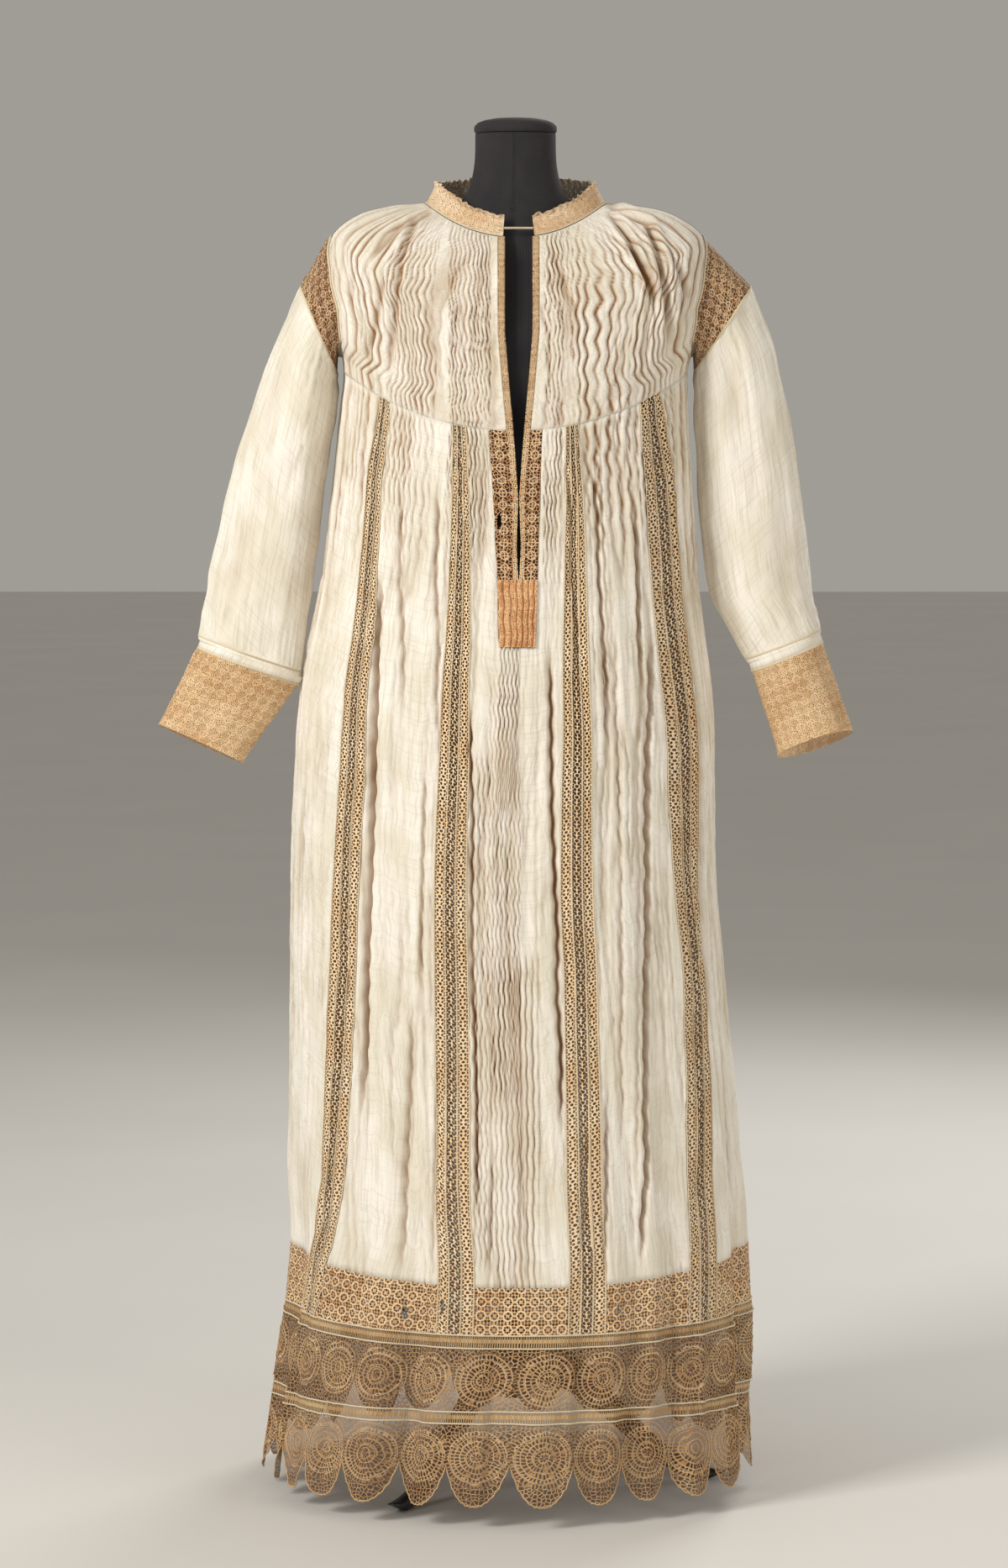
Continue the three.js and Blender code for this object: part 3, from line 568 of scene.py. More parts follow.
def lace_finish(name, pattern, pale, deep, closed=0.5, relief=0.0006):
    """A lace material. pattern(finish, across, down) gives its threads and how pale they are. closed is how
    much fine threads fill the holes; there the colour is painted dark as shade."""
    finish = Finish(name)
    across, down = finish.cloth()
    thread, pale_share = pattern(finish, across, down)
    cloud = finish.noise(across * 0.016, down * 0.02, 3.0)
    grain = finish.noise(across * 1.2, down * 1.2)
    base = finish.mix(cloud.above(0.5, 0.14), colour(*pale), colour(*deep))
    base = finish.mix(grain.above(0.52, 0.12) * 0.35, base, colour(*[part * 0.72 for part in deep]))
    base = finish.mix(pale_share * 0.8, base, colour(242, 222, 186))
    # painted shade in the holes: the lace's own colour on its threads, dark brown between them
    base = finish.mix(thread, colour(*PAINTED_HOLE_SHADE), base)
    height = finish.bump(thread + grain * 0.5, relief)
    return finish.set(Base_Color=base, Roughness=0.88, Normal=height, Alpha=thread.most(closed))


# x, y, how much narrower and lower than a circle, and radius of each hole in a quarter of a lace's repeat
CROSS_HOLES = [
    (0.36, 0.36, 1, 0.85, 0.2), (0, 1, 0.8, 1, 0.24), (0.72, 0.78, 1.2, 1, 0.16), (0.72, 0.16, 1.2, 1, 0.14),
]
SQUARE_HOLES = [
    (0.76, 0.76, 1, 1, 0.19), (0, 0.4, 1, 1, 0.17), (0.4, 0, 1, 1, 0.17), (0.32, 0.32, 1, 1, 0.1),
    (0.86, 0.3, 1, 1, 0.12), (0.3, 0.86, 1, 1, 0.12),
]


def insertion_pattern(finish, across, down):
    """Three strips of small rings and crosses, parted by plain borders."""
    strip, repeat = 14.6, 13.0
    in_middle = across.maths("ABSOLUTE").below(strip / 2, 0.2)
    wobble = finish.noise(across * 0.35, down * 0.35) - 0.5
    a = (across + wobble * 1.4).fold(strip)
    b = (down + wobble * 2.2).fold(repeat)
    field = off_holes(a, b, CROSS_HOLES) - in_middle * 0.06
    return field.above(0.0, 0.035), distance(a, b).near(0.66, 0.1, 0.05) * 0.5


def hem_pattern(finish, across, down):
    """Rings in squares: a grid of plaits, a ring in each square and a small rosette in each ring."""
    cell = 16.4
    wobble = finish.noise(across * 0.25, down * 0.25) - 0.5
    a = (across + wobble * 2.4).fold(cell)
    b = (down + wobble * 2.4).fold(cell)
    return off_holes(a, b, SQUARE_HOLES).above(0.0, 0.035), distance(a, b).near(0.66, 0.1, 0.05) * 0.8


WHEEL_PITCH = 67.0  # from one wheel to the next, in millimetres
RING_PITCH = 6.2


def wheel_pattern(centre_down, rim):
    """Wheels in a row, each of rings of small radiating holes, in a net that fills the room between them."""

    def pattern(finish, across, down):
        wobble = finish.noise(across * 0.1, down * 0.1, 3.0) - 0.5
        x = ((across / WHEEL_PITCH + wobble * 0.11).maths("FRACT") - 0.5) * WHEEL_PITCH
        y = down - centre_down + wobble * 9.0
        radius = distance(x, y)
        turn = y.maths("ARCTAN2", x) / TURN
        ring = radius / RING_PITCH
        number = ring.maths("FLOOR")
        spokes = number * 9 + 7
        in_ring = ring.off_half()
        spoke = (turn * spokes + number * 0.37 + wobble).off_half()
        worked = finish.noise(across * 0.13, down * 0.13).above(0.4, 0.05)
        in_wheel = in_ring.below(0.72, 0.12) * spoke.below(0.5, 0.14) * worked
        ground = net(finish, across, down, 4.6, 0.15)
        outside = radius.above(rim + RING_PITCH * 1.3, 4.0)
        thread = (1 - in_wheel) * (1 - outside) + ground * outside
        return thread, radius.near(rim, 1.4, 0.8) * 0.4 + in_ring.above(0.8, 0.1) * 0.25

    return pattern


def close_pattern(cell, thread, bars, ring_share):
    """Close lace: an uneven net, with faint rings and bars that repeat over a distance."""

    def pattern(finish, across, down):
        wobble = finish.noise(across * 0.15, down * 0.15) - 0.5
        ground = net(finish, across, down, cell, thread)
        a, b = (across + wobble * 5).fold(bars), (down + wobble * 5).fold(bars)
        ring = distance(a, b).near(0.62, 0.1, 0.06)
        bar = a.least(b).below(0.07, 0.04)
        return ground.most(ring).most(bar), ring.most(bar) * ring_share

    return pattern


def tape_pattern(finish, across, down):
    """The header's woven tape: fine upright threads with slits between them."""
    slits = across.fold(2.6).below(0.42, 0.12) * down.fold(13.0).below(0.62, 0.1)
    return 1 - slits, across.fold(5.2).above(0.8, 0.1) * 0.3


INSERTION_LACE = lace_finish("insertion_lace", insertion_pattern, (252, 224, 184), (238, 200, 152), 0.62)
HEM_LACE = lace_finish("square_lace", hem_pattern, (234, 194, 144), (210, 160, 108))
FLOUNCE_TONES = (190, 152, 106), (160, 120, 80), 0.6
UPPER_WHEELS = lace_finish("wheel_lace", wheel_pattern(38, 26), *FLOUNCE_TONES)
LOWER_WHEELS = lace_finish("scallop_lace", wheel_pattern(40, 29), *FLOUNCE_TONES)
CUFF_LACE = lace_finish("cuff_lace", close_pattern(2.1, 0.27, 14.0, 0.35), (238, 202, 156), (218, 174, 124))
SHOULDER_NET = close_pattern(3.9, 0.14, 13.0, 0.5)
SHOULDER_LACE = lace_finish("shoulder_lace", SHOULDER_NET, (218, 172, 122), (182, 128, 82), 0.6)
CENTRE_LACE = lace_finish("centre_lace", close_pattern(4.2, 0.13, 15.0, 0.6), (224, 176, 126), (190, 132, 84))
GUSSET_LACE = lace_finish("gusset_lace", close_pattern(2.1, 0.3, 17.0, 0.3), (240, 186, 132), (216, 152, 98))
NECK_LACE = lace_finish("neck_lace", close_pattern(2.3, 0.3, 9.0, 0.4), (244, 218, 184), (226, 186, 142))
EDGING_LACE = lace_finish("edging_lace", close_pattern(2.4, 0.2, 8.0, 0.5), (236, 200, 156), (214, 168, 118))
TAPE = lace_finish("header_tape", tape_pattern, (196, 164, 120), (170, 134, 90))


# %% [markdown]
# The white cords beside the insertions and headers are twisted. A slanting wave along the thread gives them
# their twist as a relief, and the grooves between the strands get painted shade, a darker colour.

# %% Cords, jersey and enamel
def cord_finish(name, pale, deep):
    finish = Finish(name)
    across, down = finish.cloth()
    twist_and_groove_shade = (down + across * 0.8).fold(2.4)
    # painted shade: darker colour in the grooves between the strands, where the relief is low
    base = finish.mix(twist_and_groove_shade.above(0.6, 0.3), colour(*pale), colour(*deep))
    return finish.set(Base_Color=base, Roughness=0.8, Normal=finish.bump(1 - twist_and_groove_shade, 0.0004))


def jersey_finish():
    finish = Finish("charcoal_jersey")
    across, down = finish.cloth()
    rib = across.fold(1.7) * 0.7 + down.fold(2.1) * 0.3
    worn = finish.noise(across * 0.03, down * 0.03, 3.0)
    base = finish.mix(worn.above(0.5, 0.2), colour(32, 29, 34), colour(40, 37, 40))
    rough = worn * 0.1 + 0.84
    return finish.set(Base_Color=base, Roughness=rough, Normal=finish.bump(rib, 0.0003), Sheen_Weight=0.05)


def enamel_finish():
    finish = Finish("black_enamel")
    across, down = finish.cloth()
    worn = finish.noise(across * 0.05, down * 0.05, 4.0)
    base = finish.mix(worn.above(0.62, 0.05), colour(22, 22, 24), colour(44, 41, 40))
    rough = worn * 0.25 + 0.16
    return finish.set(Base_Color=base, Roughness=rough, Normal=finish.bump(worn, 0.0002), Coat_Weight=0.4)


# each cord's second colour is the painted shade in its grooves
WHITE_CORD = cord_finish("white_cord", (240, 228, 202), (200, 178, 138))
TAN_CORD = cord_finish("tan_cord", (222, 188, 140), (178, 138, 92))
JERSEY = jersey_finish()
ENAMEL = enamel_finish()

floor_finish = Finish("pale_floor")
over_floor = floor_finish.node("ShaderNodeTexCoord", (), (), "Object")
clouds = floor_finish.noise(0, 0, place=over_floor, scale=1.5).above(0.5, 0.3)
floor_colour = floor_finish.mix(clouds, colour(214, 212, 208), colour(218, 216, 212))
floor_mesh.materials.append(floor_finish.set(Base_Color=floor_colour, Roughness=0.7))
print(len(bpy.data.materials), "finishes")

# %% [markdown]
# ## Making cloth
# A piece of cloth is a grid of points: columns go round the body and rows go down it. Blender's Solidify
# modifier gives the linen its thickness, and its result is kept as the mesh. Lace stays a single layer,
# because its holes are cut through it. Each piece keeps its measures in millimetres as a UV map, so
# patterns have their true scale.

# %% Mesh helpers
CLOTH_OUT = 0.9  # how far the cloth lies outside the garment's surface
LINEN_THICK = 0.5
NARROWEST = 0.0101  # the least width of a strip that can be listed, in metres
made_triangles = 0


def mesh_piece(name, points, faces, finish, uv, crease_shade=None):
    """A piece from its points in millimetres. uv gives each point's measures across and down the cloth."""
    mesh = bpy.data.meshes.new(name)
    mesh.from_pydata(to_metres(points).tolist(), [], faces)
    corner = np.empty(len(mesh.loops), int)
    mesh.loops.foreach_get("vertex_index", corner)
    mesh.uv_layers.new(name="cloth").data.foreach_set("uv", uv[corner].astype(np.float32).ravel())
    # the share of painted shade in the linen's colour at each point, from how deep it lies in a fold
    if crease_shade is not None:
        tone = mesh.attributes.new("crease_shade", "FLOAT", "POINT")
        tone.data.foreach_set("value", np.clip(crease_shade, 0, 1).astype(np.float32).ravel())
    mesh.shade_smooth()
    mesh.materials.append(finish)
    piece = placed(name, mesh)
    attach(piece, "root")
    return piece


def run_along(lengths):
    """How far along each point lies, from the lengths between them."""
    return np.concatenate([[0], np.cumsum(lengths)])


def tube_faces(rows, columns, ring=False):
    """Faces of a tube that is closed round each row. A ring's last row also joins its first."""
    j, i = np.mgrid[0 : rows if ring else rows - 1, 0:columns]
    beside, below = (i + 1) % columns, (j + 1) % rows
    corners = [j * columns + i, j * columns + beside, below * columns + beside, below * columns + i]
    return np.stack(corners, -1).reshape(-1, 4)


def grid_faces(rows, columns, keep=None):
    """Faces of a grid of points, wound so that they face outwards."""
    j, i = np.mgrid[0 : rows - 1, 0 : columns - 1]
    if keep is not None:
        j, i = j[keep(j, i)], i[keep(j, i)]
    a = (j * columns + i).ravel()
    return np.stack([a, a + columns, a + columns + 1, a + 1], 1)


def measures(points):
    """How far each point of a grid is across and down the cloth, in millimetres, over the cloth itself."""
    across = np.linalg.norm(np.diff(points, axis=1), axis=2)
    down = np.linalg.norm(np.diff(points, axis=0), axis=2)
    rows, columns = points.shape[:2]
    x = np.concatenate([np.zeros((rows, 1)), np.cumsum(across, 1)], 1)
    y = np.concatenate([np.zeros((1, columns)), np.cumsum(down, 0)], 0)
    return np.stack([x - x[:, -1:] / 2, y], -1)


def cloth_area(points, faces):
    a, b, c, d = (points.reshape(-1, 3)[faces[:, k]] for k in range(4))
    return np.linalg.norm(np.cross(c - a, d - b), axis=1).sum() / 2


def cloth(name, points, finish, slot, nodes, uv=None, crease_shade=None, thick=0, keep=None,
          scalloped=False):
    """A sheet of cloth from a grid of points. Its cut size is what the grid measures when it is laid flat.
    A scalloped sheet is as wide as its straight top row, because its lower edge runs up and down."""
    global made_triangles
    rows, columns = points.shape[:2]
    faces = grid_faces(rows, columns, keep)
    size = measures(points)
    uv = (size if uv is None else uv).reshape(-1, 2)
    piece = mesh_piece(name, points.reshape(-1, 3), faces.tolist(), finish, uv, crease_shade)
    if thick:
        solid = piece.modifiers.new("thickness", "SOLIDIFY")
        solid.thickness, solid.offset = thick * MM, -1
        evaluated = piece.evaluated_get(bpy.context.evaluated_depsgraph_get())
        thickened = bpy.data.meshes.new_from_object(evaluated)
        piece.modifiers.clear()
        piece.data = thickened
    widths = size[:, -1, 0] - size[:, 0, 0]
    width = max((widths[0] if scalloped else widths.max()) * MM, NARROWEST)
    length = max(size[-1, :, 1].max() * MM, NARROWEST)
    flat = (round(width, 3), round(length, 3))
    area = min(cloth_area(points, faces) * MM**2, width * length, flat[0] * flat[1])
    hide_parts(*nodes)
    made_triangles += 2 * len(faces) * (2 if thick else 1)
    print(f"{name}: cut {flat[0]} x {flat[1]} m, {len(faces)} faces")
    return piece


def threads(name, paths, outwards, radius, finish, sides=5, ring=False):
    """Many threads as one piece, from each one's points and the direction away from the cloth there."""
    global made_triangles
    points, faces, uvs, first = [], [], [], 0
    turns = np.arange(sides) / sides * TURN
    for path, outward in zip(paths, outwards):
        path = np.asarray(path, float)
        closed = np.concatenate([path[-1:], path, path[:1]]) if ring else path
        ahead = np.gradient(closed, axis=0)
        ahead = unit(ahead[1:-1] if ring else ahead)
        side = unit(np.cross(ahead, outward))
        up = np.cross(side, ahead)
        circle = np.cos(turns)[:, None] * side[:, None] + np.sin(turns)[:, None] * up[:, None]
        points.append((path[:, None] + radius * circle).reshape(-1, 3))
        run = run_along(np.linalg.norm(np.diff(path, axis=0), axis=1))
        uvs.append(np.stack([np.tile(turns * radius, len(path)), np.repeat(run, sides)], 1))
        faces.append(tube_faces(len(path), sides, ring) + first)
        first += len(path) * sides
    faces = np.concatenate(faces).tolist()
    piece = mesh_piece(name, np.concatenate(points), faces, finish, np.concatenate(uvs))
    made_triangles += 2 * len(faces)
    return piece


# %% [markdown]
# ## Pleats and creases
# Fine pleats run in groups from the neckband over the yoke seam and fade out in the skirt. They stand
# upright and close together, and they wave together because they were pressed as one. In front of the chest
# they fall straight down, and towards the armholes they fan out and get wider. Below them the skirt has a
# narrow group under the gusset with shorter ones beside it, long folds, and everywhere the fine crinkles of
# washed linen. Each is a height out of the cloth, and each also gives how much painted shade the linen
# gets there, darker and warmer in its valleys.

# %% Where the pleats run
STRAIGHT = 80  # pleats nearer than this to the middle fall straight down
SIDE_LINE = 209  # where the side lies at the yoke seam
KINK = 33  # height of one wave of the pleats, in millimetres
# x at the yoke seam where a group starts and ends, pitch, depth, wave, height at which it has faded out
FRONT_PLEATS = np.array([
    [-209, -168, 17, 2.6, 0.8, 1000], [-168, -129, 8.2, 3.0, 1.0, 1090], [-129, -89, 4.4, 3.2, 1.2, 1110],
    [-79, -30, 4.8, 4.4, 1.5, 1070], [36, 58, 5.2, 4.4, 1.6, 1050], [58, 69, 5.5, 2.2, 1.2, 1150],
    [69, 119, 7.4, 3.8, 1.5, 1100], [119, 161, 6.4, 3.2, 1.2, 1090], [161, 209, 15, 3.0, 0.9, 1000],
])
BACK_PLEATS = np.array([
    [-209, -160, 16, 2.8, 0.9, 1000], [-160, -84, 6.4, 3.2, 1.2, 1090], [-76, -5, 5.2, 4.2, 1.6, 1060],
    [5, 76, 5.2, 4.2, 1.6, 1060], [84, 160, 6.4, 3.2, 1.2, 1090], [160, 209, 16, 2.8, 0.9, 1000],
])


def pleat_line(angle, step):
    """The x at which the pleat through a place crosses the yoke seam, and whether it is on the back."""
    step = np.minimum(step, YOKE_SEAM)
    turned = wrapped(angle)
    on_back = np.cos(turned) < 0
    side = np.where(turned < 0, -1, 1)
    from_middle = np.where(on_back, math.pi - np.abs(turned), np.abs(turned))
    x = surface(angle, step)[..., 0]
    seam_step = np.clip(step, SHOULDER_POINT, UNDERARM)
    edge = np.where(on_back, math.pi - arm_edge(1, seam_step, True), arm_edge(1, seam_step, False))
    edge = np.where(step > UNDERARM, math.pi / 2, edge)
    straight = np.abs(angle_at_x(side * STRAIGHT, step))
    fanned = STRAIGHT + (SIDE_LINE - STRAIGHT) * (from_middle - straight) / (edge - straight)
    return np.where(from_middle < straight, x, side * fanned), on_back


def pleats_at(angle, step):
    """Height of the groups of pleats, and the painted shade in their valleys."""
    line, on_back = pleat_line(angle, step)
    z = surface(angle, step)[..., 2]
    height, crease_shade = 0 * z, 0 * z
    near_neck = np.where(np.abs(line) > STRAIGHT, np.clip(0.3 + step / 3, 0, 1), 1)
    line = line + 2.6 * uneven(line / 17, z / 160, 18) + 0.8 * uneven(line / 6, z / 60, 19)
    for groups, here in ((FRONT_PLEATS, ~on_back), (BACK_PLEATS, on_back)):
        for start, end, pitch, depth, wave, low in groups:
            inside = here * between(line, start + 1, end - 1, 1.5) * ease((z - low) / 170)
            shift = wave * zigzag(z / KINK + 0.3 * uneven(z / 70, start, 12))
            shift = shift + 1.3 * uneven(z / 45, start * 0.3, 13)
            pleat = pleated((line - start + shift) / pitch, 2.0)
            strength = depth * near_neck * (0.8 + 0.55 * uneven(line / 9, z / 75, 14))
            height = height + inside * strength * (pleat - 0.7)
            crease_shade = crease_shade + inside * (1 - pleat) * np.clip(strength / 2.7, 0, 1.35)
    return height, crease_shade


def crinkles(across, z, seed):
    """The fine crinkles of washed linen: uneven upright creases of two sizes. Gives how deep they are."""
    kinked = across + 1.3 * zigzag(z / KINK + uneven(across / 60, z / 90, seed))
    large = (1 - np.abs(uneven(kinked / 10, z / 170, seed + 1))) ** 6
    large = large * np.clip(0.55 + uneven(across / 34, z / 130, seed + 2), 0, 1)
    small = (1 - np.abs(uneven(kinked / 4.6, z / 75, seed + 3))) ** 4
    small = small * np.clip(0.5 + uneven(across / 22, z / 60, seed + 4), 0, 1)
    return 3.2 * large + 1.2 * small


# %% Folds of the skirt
# top and bottom height, x at the top and at the bottom, half width, pitch, depth, wave
SKIRT_PLEATS = np.array([
    [1120, 860, -3, -10, 13, 4.9, 4.2, 1.8],
    [980, 520, -12, -12, 18, 5.2, 3.2, 1.7],
    [640, 300, -12, -6, 20, 6.5, 2.8, 1.2],
    [890, 330, -38, -40, 11, 6.2, 3.0, 1.6],
    [650, 292, 14, 16, 15, 7.5, 3.2, 0.9],
])
# top and bottom height, x at the top and at the bottom, depth, width: the folds that show most from the front
FRONT_CREASES = np.array([
    [1130, 500, -163, -184, 12, 4.4], [1040, 480, 41, 55, 9, 4.2], [1060, 700, 108, 103, 3, 2.6],
    [1060, 470, 121, 128, 4, 2.8], [1040, 420, 149, 146, 3, 2.8], [1060, 320, 163, 156, 11, 3.8],
    [980, 380, -54, -45, 8, 3], [910, 640, -108, -115, 5, 2.6], [1240, 980, -140, -133, 6, 3],
    [1250, 900, -96, -92, 5, 3], [1270, 1000, 62, 76, 6, 3], [1270, 960, 92, 112, 6, 3],
    [1230, 1010, 140, 152, 7, 3], [620, 300, -128, -140, 6, 3.2], [560, 300, -92, -100, 5, 2.8],
    [520, 295, 112, 108, 6, 3], [500, 300, 86, 80, 6, 3.2], [470, 296, -26, -30, 5, 3],
])
SIDE_CREASES = 84

seeded = np.random.default_rng(11)
side_creases = np.stack([
    np.linspace(-180, 180, SIDE_CREASES, endpoint=False) + seeded.normal(0, 1.2, SIDE_CREASES),
    seeded.uniform(760, 1310, SIDE_CREASES), seeded.uniform(290, 640, SIDE_CREASES),
    seeded.uniform(3, 8, SIDE_CREASES),
    seeded.uniform(2.4, 4.6, SIDE_CREASES),
    seeded.uniform(0, 1, SIDE_CREASES),
], 1)


def crease(off, width):
    """A dent with one steep flank."""
    return np.exp(-((off / np.where(off > 0, width * 0.5, width)) ** 2))


def course(z, top, low, x_top, x_low):
    """The x of a straight fold at some heights."""
    return x_top + (x_low - x_top) * np.clip((top - z) / (top - low), 0, 1)


STEP_HEIGHT = 70  # of a step near the yoke seam, in millimetres


def sewn_flat(step):
    """How far places are from the yoke seam, and how free the cloth is there: it is sewn flat at the seam."""
    from_seam = np.abs(step - YOKE_SEAM) * STEP_HEIGHT
    return from_seam, 1 - 0.75 * np.exp(-((from_seam / 3) ** 2))


def skirt_relief(angle, step):
    """Height of the skirt's pleats and creases, and the painted shade in their valleys."""
    point = surface(angle, step)
    x, z = point[..., 0], point[..., 2]
    turned = wrapped(angle)
    front = between(np.abs(turned), -1, math.radians(62), math.radians(8))
    height, crease_shade = pleats_at(angle, step)
    for top, low, x_top, x_low, half, pitch, depth, wave in SKIRT_PLEATS:
        off = x - (course(z, top, low, x_top, x_low) + 3 * uneven(z / 120, 0, 3))
        here = between(off, -half + 3, half - 3, 5) * between(z, low, top, 40) * front
        pleat = pleated((off + wave * zigzag(z / KINK + 0.2 * uneven(z / 60, pitch, 5))) / pitch, 2.0)
        strength = depth * (0.8 + 0.4 * uneven(x / 9, z / 90, 8))
        height = height + here * strength * (pleat - 0.6)
        crease_shade = crease_shade + 0.75 * here * (1 - pleat)
    for top, low, x_top, x_low, depth, width in FRONT_CREASES:
        line = course(z, top, low, x_top, x_low) + 2.5 * uneven(z / 70, x_top / 7, 4)
        dent = crease(x - line - 1.2 * zigzag(z / KINK + x_top), width) * front
        dent = dent * between(z, low + 40, top - 60, 70)
        height, crease_shade = height - depth * dent, crease_shade + dent * min(0.8, depth / 10)
    scale = np.linalg.norm(across_at(angle, step), axis=-1)
    for where, top, low, depth, width, seed in side_creases:
        off = wrapped(angle - math.radians(where)) * scale
        off = off - 5 * uneven(z / 110, seed * 50, 6) - 1.3 * zigzag(z / KINK + seed * 9)
        dent = crease(off, width) * between(z, low + 40, top - 60, 80) * (1 - 0.7 * front)
        height, crease_shade = height - depth * dent, crease_shade + dent * depth / 12
    fine = crinkles(turned * 235, z, 60)
    swell = 2.4 * uneven(turned * 9, z / 210, 2) + 0.9 * uneven(turned * 34, z / 120, 7)
    slant = 0.7 * uneven((x + 0.6 * z) / 26, (z - 0.6 * x) / 60, 9)
    from_seam, free = sewn_flat(step)
    return (height + swell * ease(from_seam / 25) + slant - fine) * free, (crease_shade + 0.1 * fine) * free


def on_skirt(angle, step, out=0.0):
    """Points of the skirt's outer side, with its folds, and the painted shade in them."""
    height, crease_shade = skirt_relief(angle, step)
    lift = (drape(angle, step) + height + CLOTH_OUT + out)[..., None]
    return surface(angle, step) + outward_at(angle, step) * lift, crease_shade


def fan(low, high, shares):
    """Rows of values between two ends that change from row to row."""
    return low[:, None] + (high - low)[:, None] * shares


def ring_grid(low, high, steps, columns):
    """A grid of angles between two seams, and of steps."""
    return fan(low, high, np.linspace(0, 1, columns + 1)), np.repeat(steps[:, None], columns + 1, 1)


# %% [markdown]
# ## Skirt panels
# Eight linen panels hang from the yoke seam to the lace hem. They are cut from the straight, so a grid
# between two insertions gives each its shape. The front panel has the finest columns, because its pleats
# are 5 mm apart. It is notched at the top for the lace and the gusset, so it is made with the cells of the
# notch left out.

# %% Panels
SKIRT_ROWS = 130
SKIRT = {  # the insertions beside a panel, its columns, and the turn that keeps its angles growing
    "front_left": ("front_outer_left", "front_inner_left", 62, 0),
    "front_right": ("front_inner_right", "front_outer_right", 62, 0),
    "side_right": ("front_outer_right", "back_outer_right", 78, 0),
    "back_right": ("back_outer_right", "back_inner_right", 56, 0),
    "back_centre": ("back_inner_right", "back_inner_left", 66, 0),
    "back_left": ("back_inner_left", "back_outer_left", 56, 0),
    "side_left": ("back_outer_left", "front_outer_left", 78, TURN),
}


def steps_down(first, last, rows):
    """Steps with about the same height of cloth between them."""
    fine = np.linspace(first, last, 400)
    run = run_along(np.linalg.norm(np.diff(surface(0.6, fine), axis=0), axis=1))
    return np.interp(np.linspace(0, run[-1], rows + 1), run, fine)


def panel_grid(steps, start, end, columns, wrap):
    """A grid from the insertion where a panel starts to the one where it ends."""
    return ring_grid(insertion_edge(start, steps, 1), insertion_edge(end, steps, -1) + wrap, steps, columns)


def linen_panel(name, node, points, crease_shade, keep=None):
    cloth(name, points, LINEN, "linen", [node], crease_shade=crease_shade, thick=LINEN_THICK,
          keep=keep)


skirt_steps = steps_down(YOKE_SEAM, LINEN_HEM, SKIRT_ROWS)
for name, panel in SKIRT.items():
    linen_panel(f"linen_{name}", f"skirt_{name}", *on_skirt(*panel_grid(skirt_steps, *panel)))

# %% Front panel with its notch
CENTRE_COLUMNS = (30, 72, 30)
HEM_SHARES = (0.25, 0.75)
NOTCH_ROWS, LOWER_ROWS = ((44, 104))
beside_notch = steps_down(YOKE_SEAM, GUSSET_END, NOTCH_ROWS)[:-1]
centre_steps = np.concatenate([beside_notch, steps_down(GUSSET_END, LINEN_HEM, LOWER_ROWS)])


def centre_lines(steps):
    """The front panel's seams and the two lines that run down from the notch."""
    left = insertion_edge("front_inner_left", steps, 1)
    right = insertion_edge("front_inner_right", steps, -1)
    spread = np.clip((steps - GUSSET_END) / (LINEN_HEM - GUSSET_END), 0, 1)
    lines = [left]
    for side, share in zip((-1, 1), HEM_SHARES):
        notch = notch_edge(side, np.minimum(steps, GUSSET_END))
        lines.append(notch + (left + (right - left) * share - notch) * spread)
    return [*lines, right]


lines = centre_lines(centre_steps)
parts = zip(lines[:-1], lines[1:], CENTRE_COLUMNS)
parts = [fan(low, high, np.arange(columns) / columns) for low, high, columns in parts]
angles = np.concatenate([*parts, lines[-1][:, None]], 1)
steps = np.repeat(centre_steps[:, None], angles.shape[1], 1)


def outside_notch(row, column):
    first, columns = CENTRE_COLUMNS[:2]
    return ~((row < NOTCH_ROWS) & (column >= first) & (column < first + columns))


linen_panel("linen_front_centre", "skirt_front_centre", *on_skirt(angles, steps), outside_notch)

# %% [markdown]
# ## Tears
# Old lace has torn in four places. A tear is a gap in the grid: the cells inside an uneven oval are left
# out.

# %% Tears in the lace
# angle in degrees, step, width and height in millimetres
TEARS = {
    "insertion_front_inner_left": (-17.2, 19.4, 7, 13),
    "hem_lace_front_left": (-28, 19.6, 6, 9),
    "hem_lace_front_right": (22.7, 19.5, 5, 10),
    "centre_lace_left": (-3.2, 8.7, 4.4, 14),
}
TORN_REACH, FRAY = 1.6, 0.35  # a cell goes when its middle is this near, and how uneven that is


def outside_tear(node, angles, steps):
    """Which cells of a node's grid stay, or None if the lace there is whole."""
    if node not in TEARS:
        return None
    angle, step, width, height = TEARS[node]
    points = surface(angles, steps)
    cells = (points[:-1, :-1] + points[1:, :-1] + points[:-1, 1:] + points[1:, 1:]) / 4
    off = cells - surface(math.radians(angle), step)
    across, down = np.linalg.norm(off[..., :2], axis=-1), off[..., 2]
    reach = (across / width * 2) ** 2 + (down / height * 2) ** 2
    whole = reach > TORN_REACH + FRAY * uneven(across, down / 2, 51)
    print(node, "is torn over", int((~whole).sum()), "cells")
    return lambda j, i: whole[j, i]


# %% [markdown]
# ## Insertions
# An insertion is a strip of lace between two panels. It is one ribbon of three rows of rings and crosses,
# pinched narrower where it rises to the yoke. White cords run along its edges and between its rows.

# %% Insertions and their cords
HALF_RIBBON = 22.0
RIBBON_COLUMNS = 10
CORD_SHARES = (0, 0.335, 0.665, 1)  # of the ribbon's width
CORD_OUT, CORD_RADIUS = 0.7, 0.75
insertion_steps = steps_down(YOKE_SEAM, INSERTION_END, SKIRT_ROWS)


def side_stretched(points):
    """Measures that keep the pattern's columns on the ribbon where it is pinched."""
    size = measures(points)
    share = size[..., 0] / np.maximum(size[:, -1:, 0], 1e-6)
    return np.stack([share * HALF_RIBBON, size[..., 1]], -1)


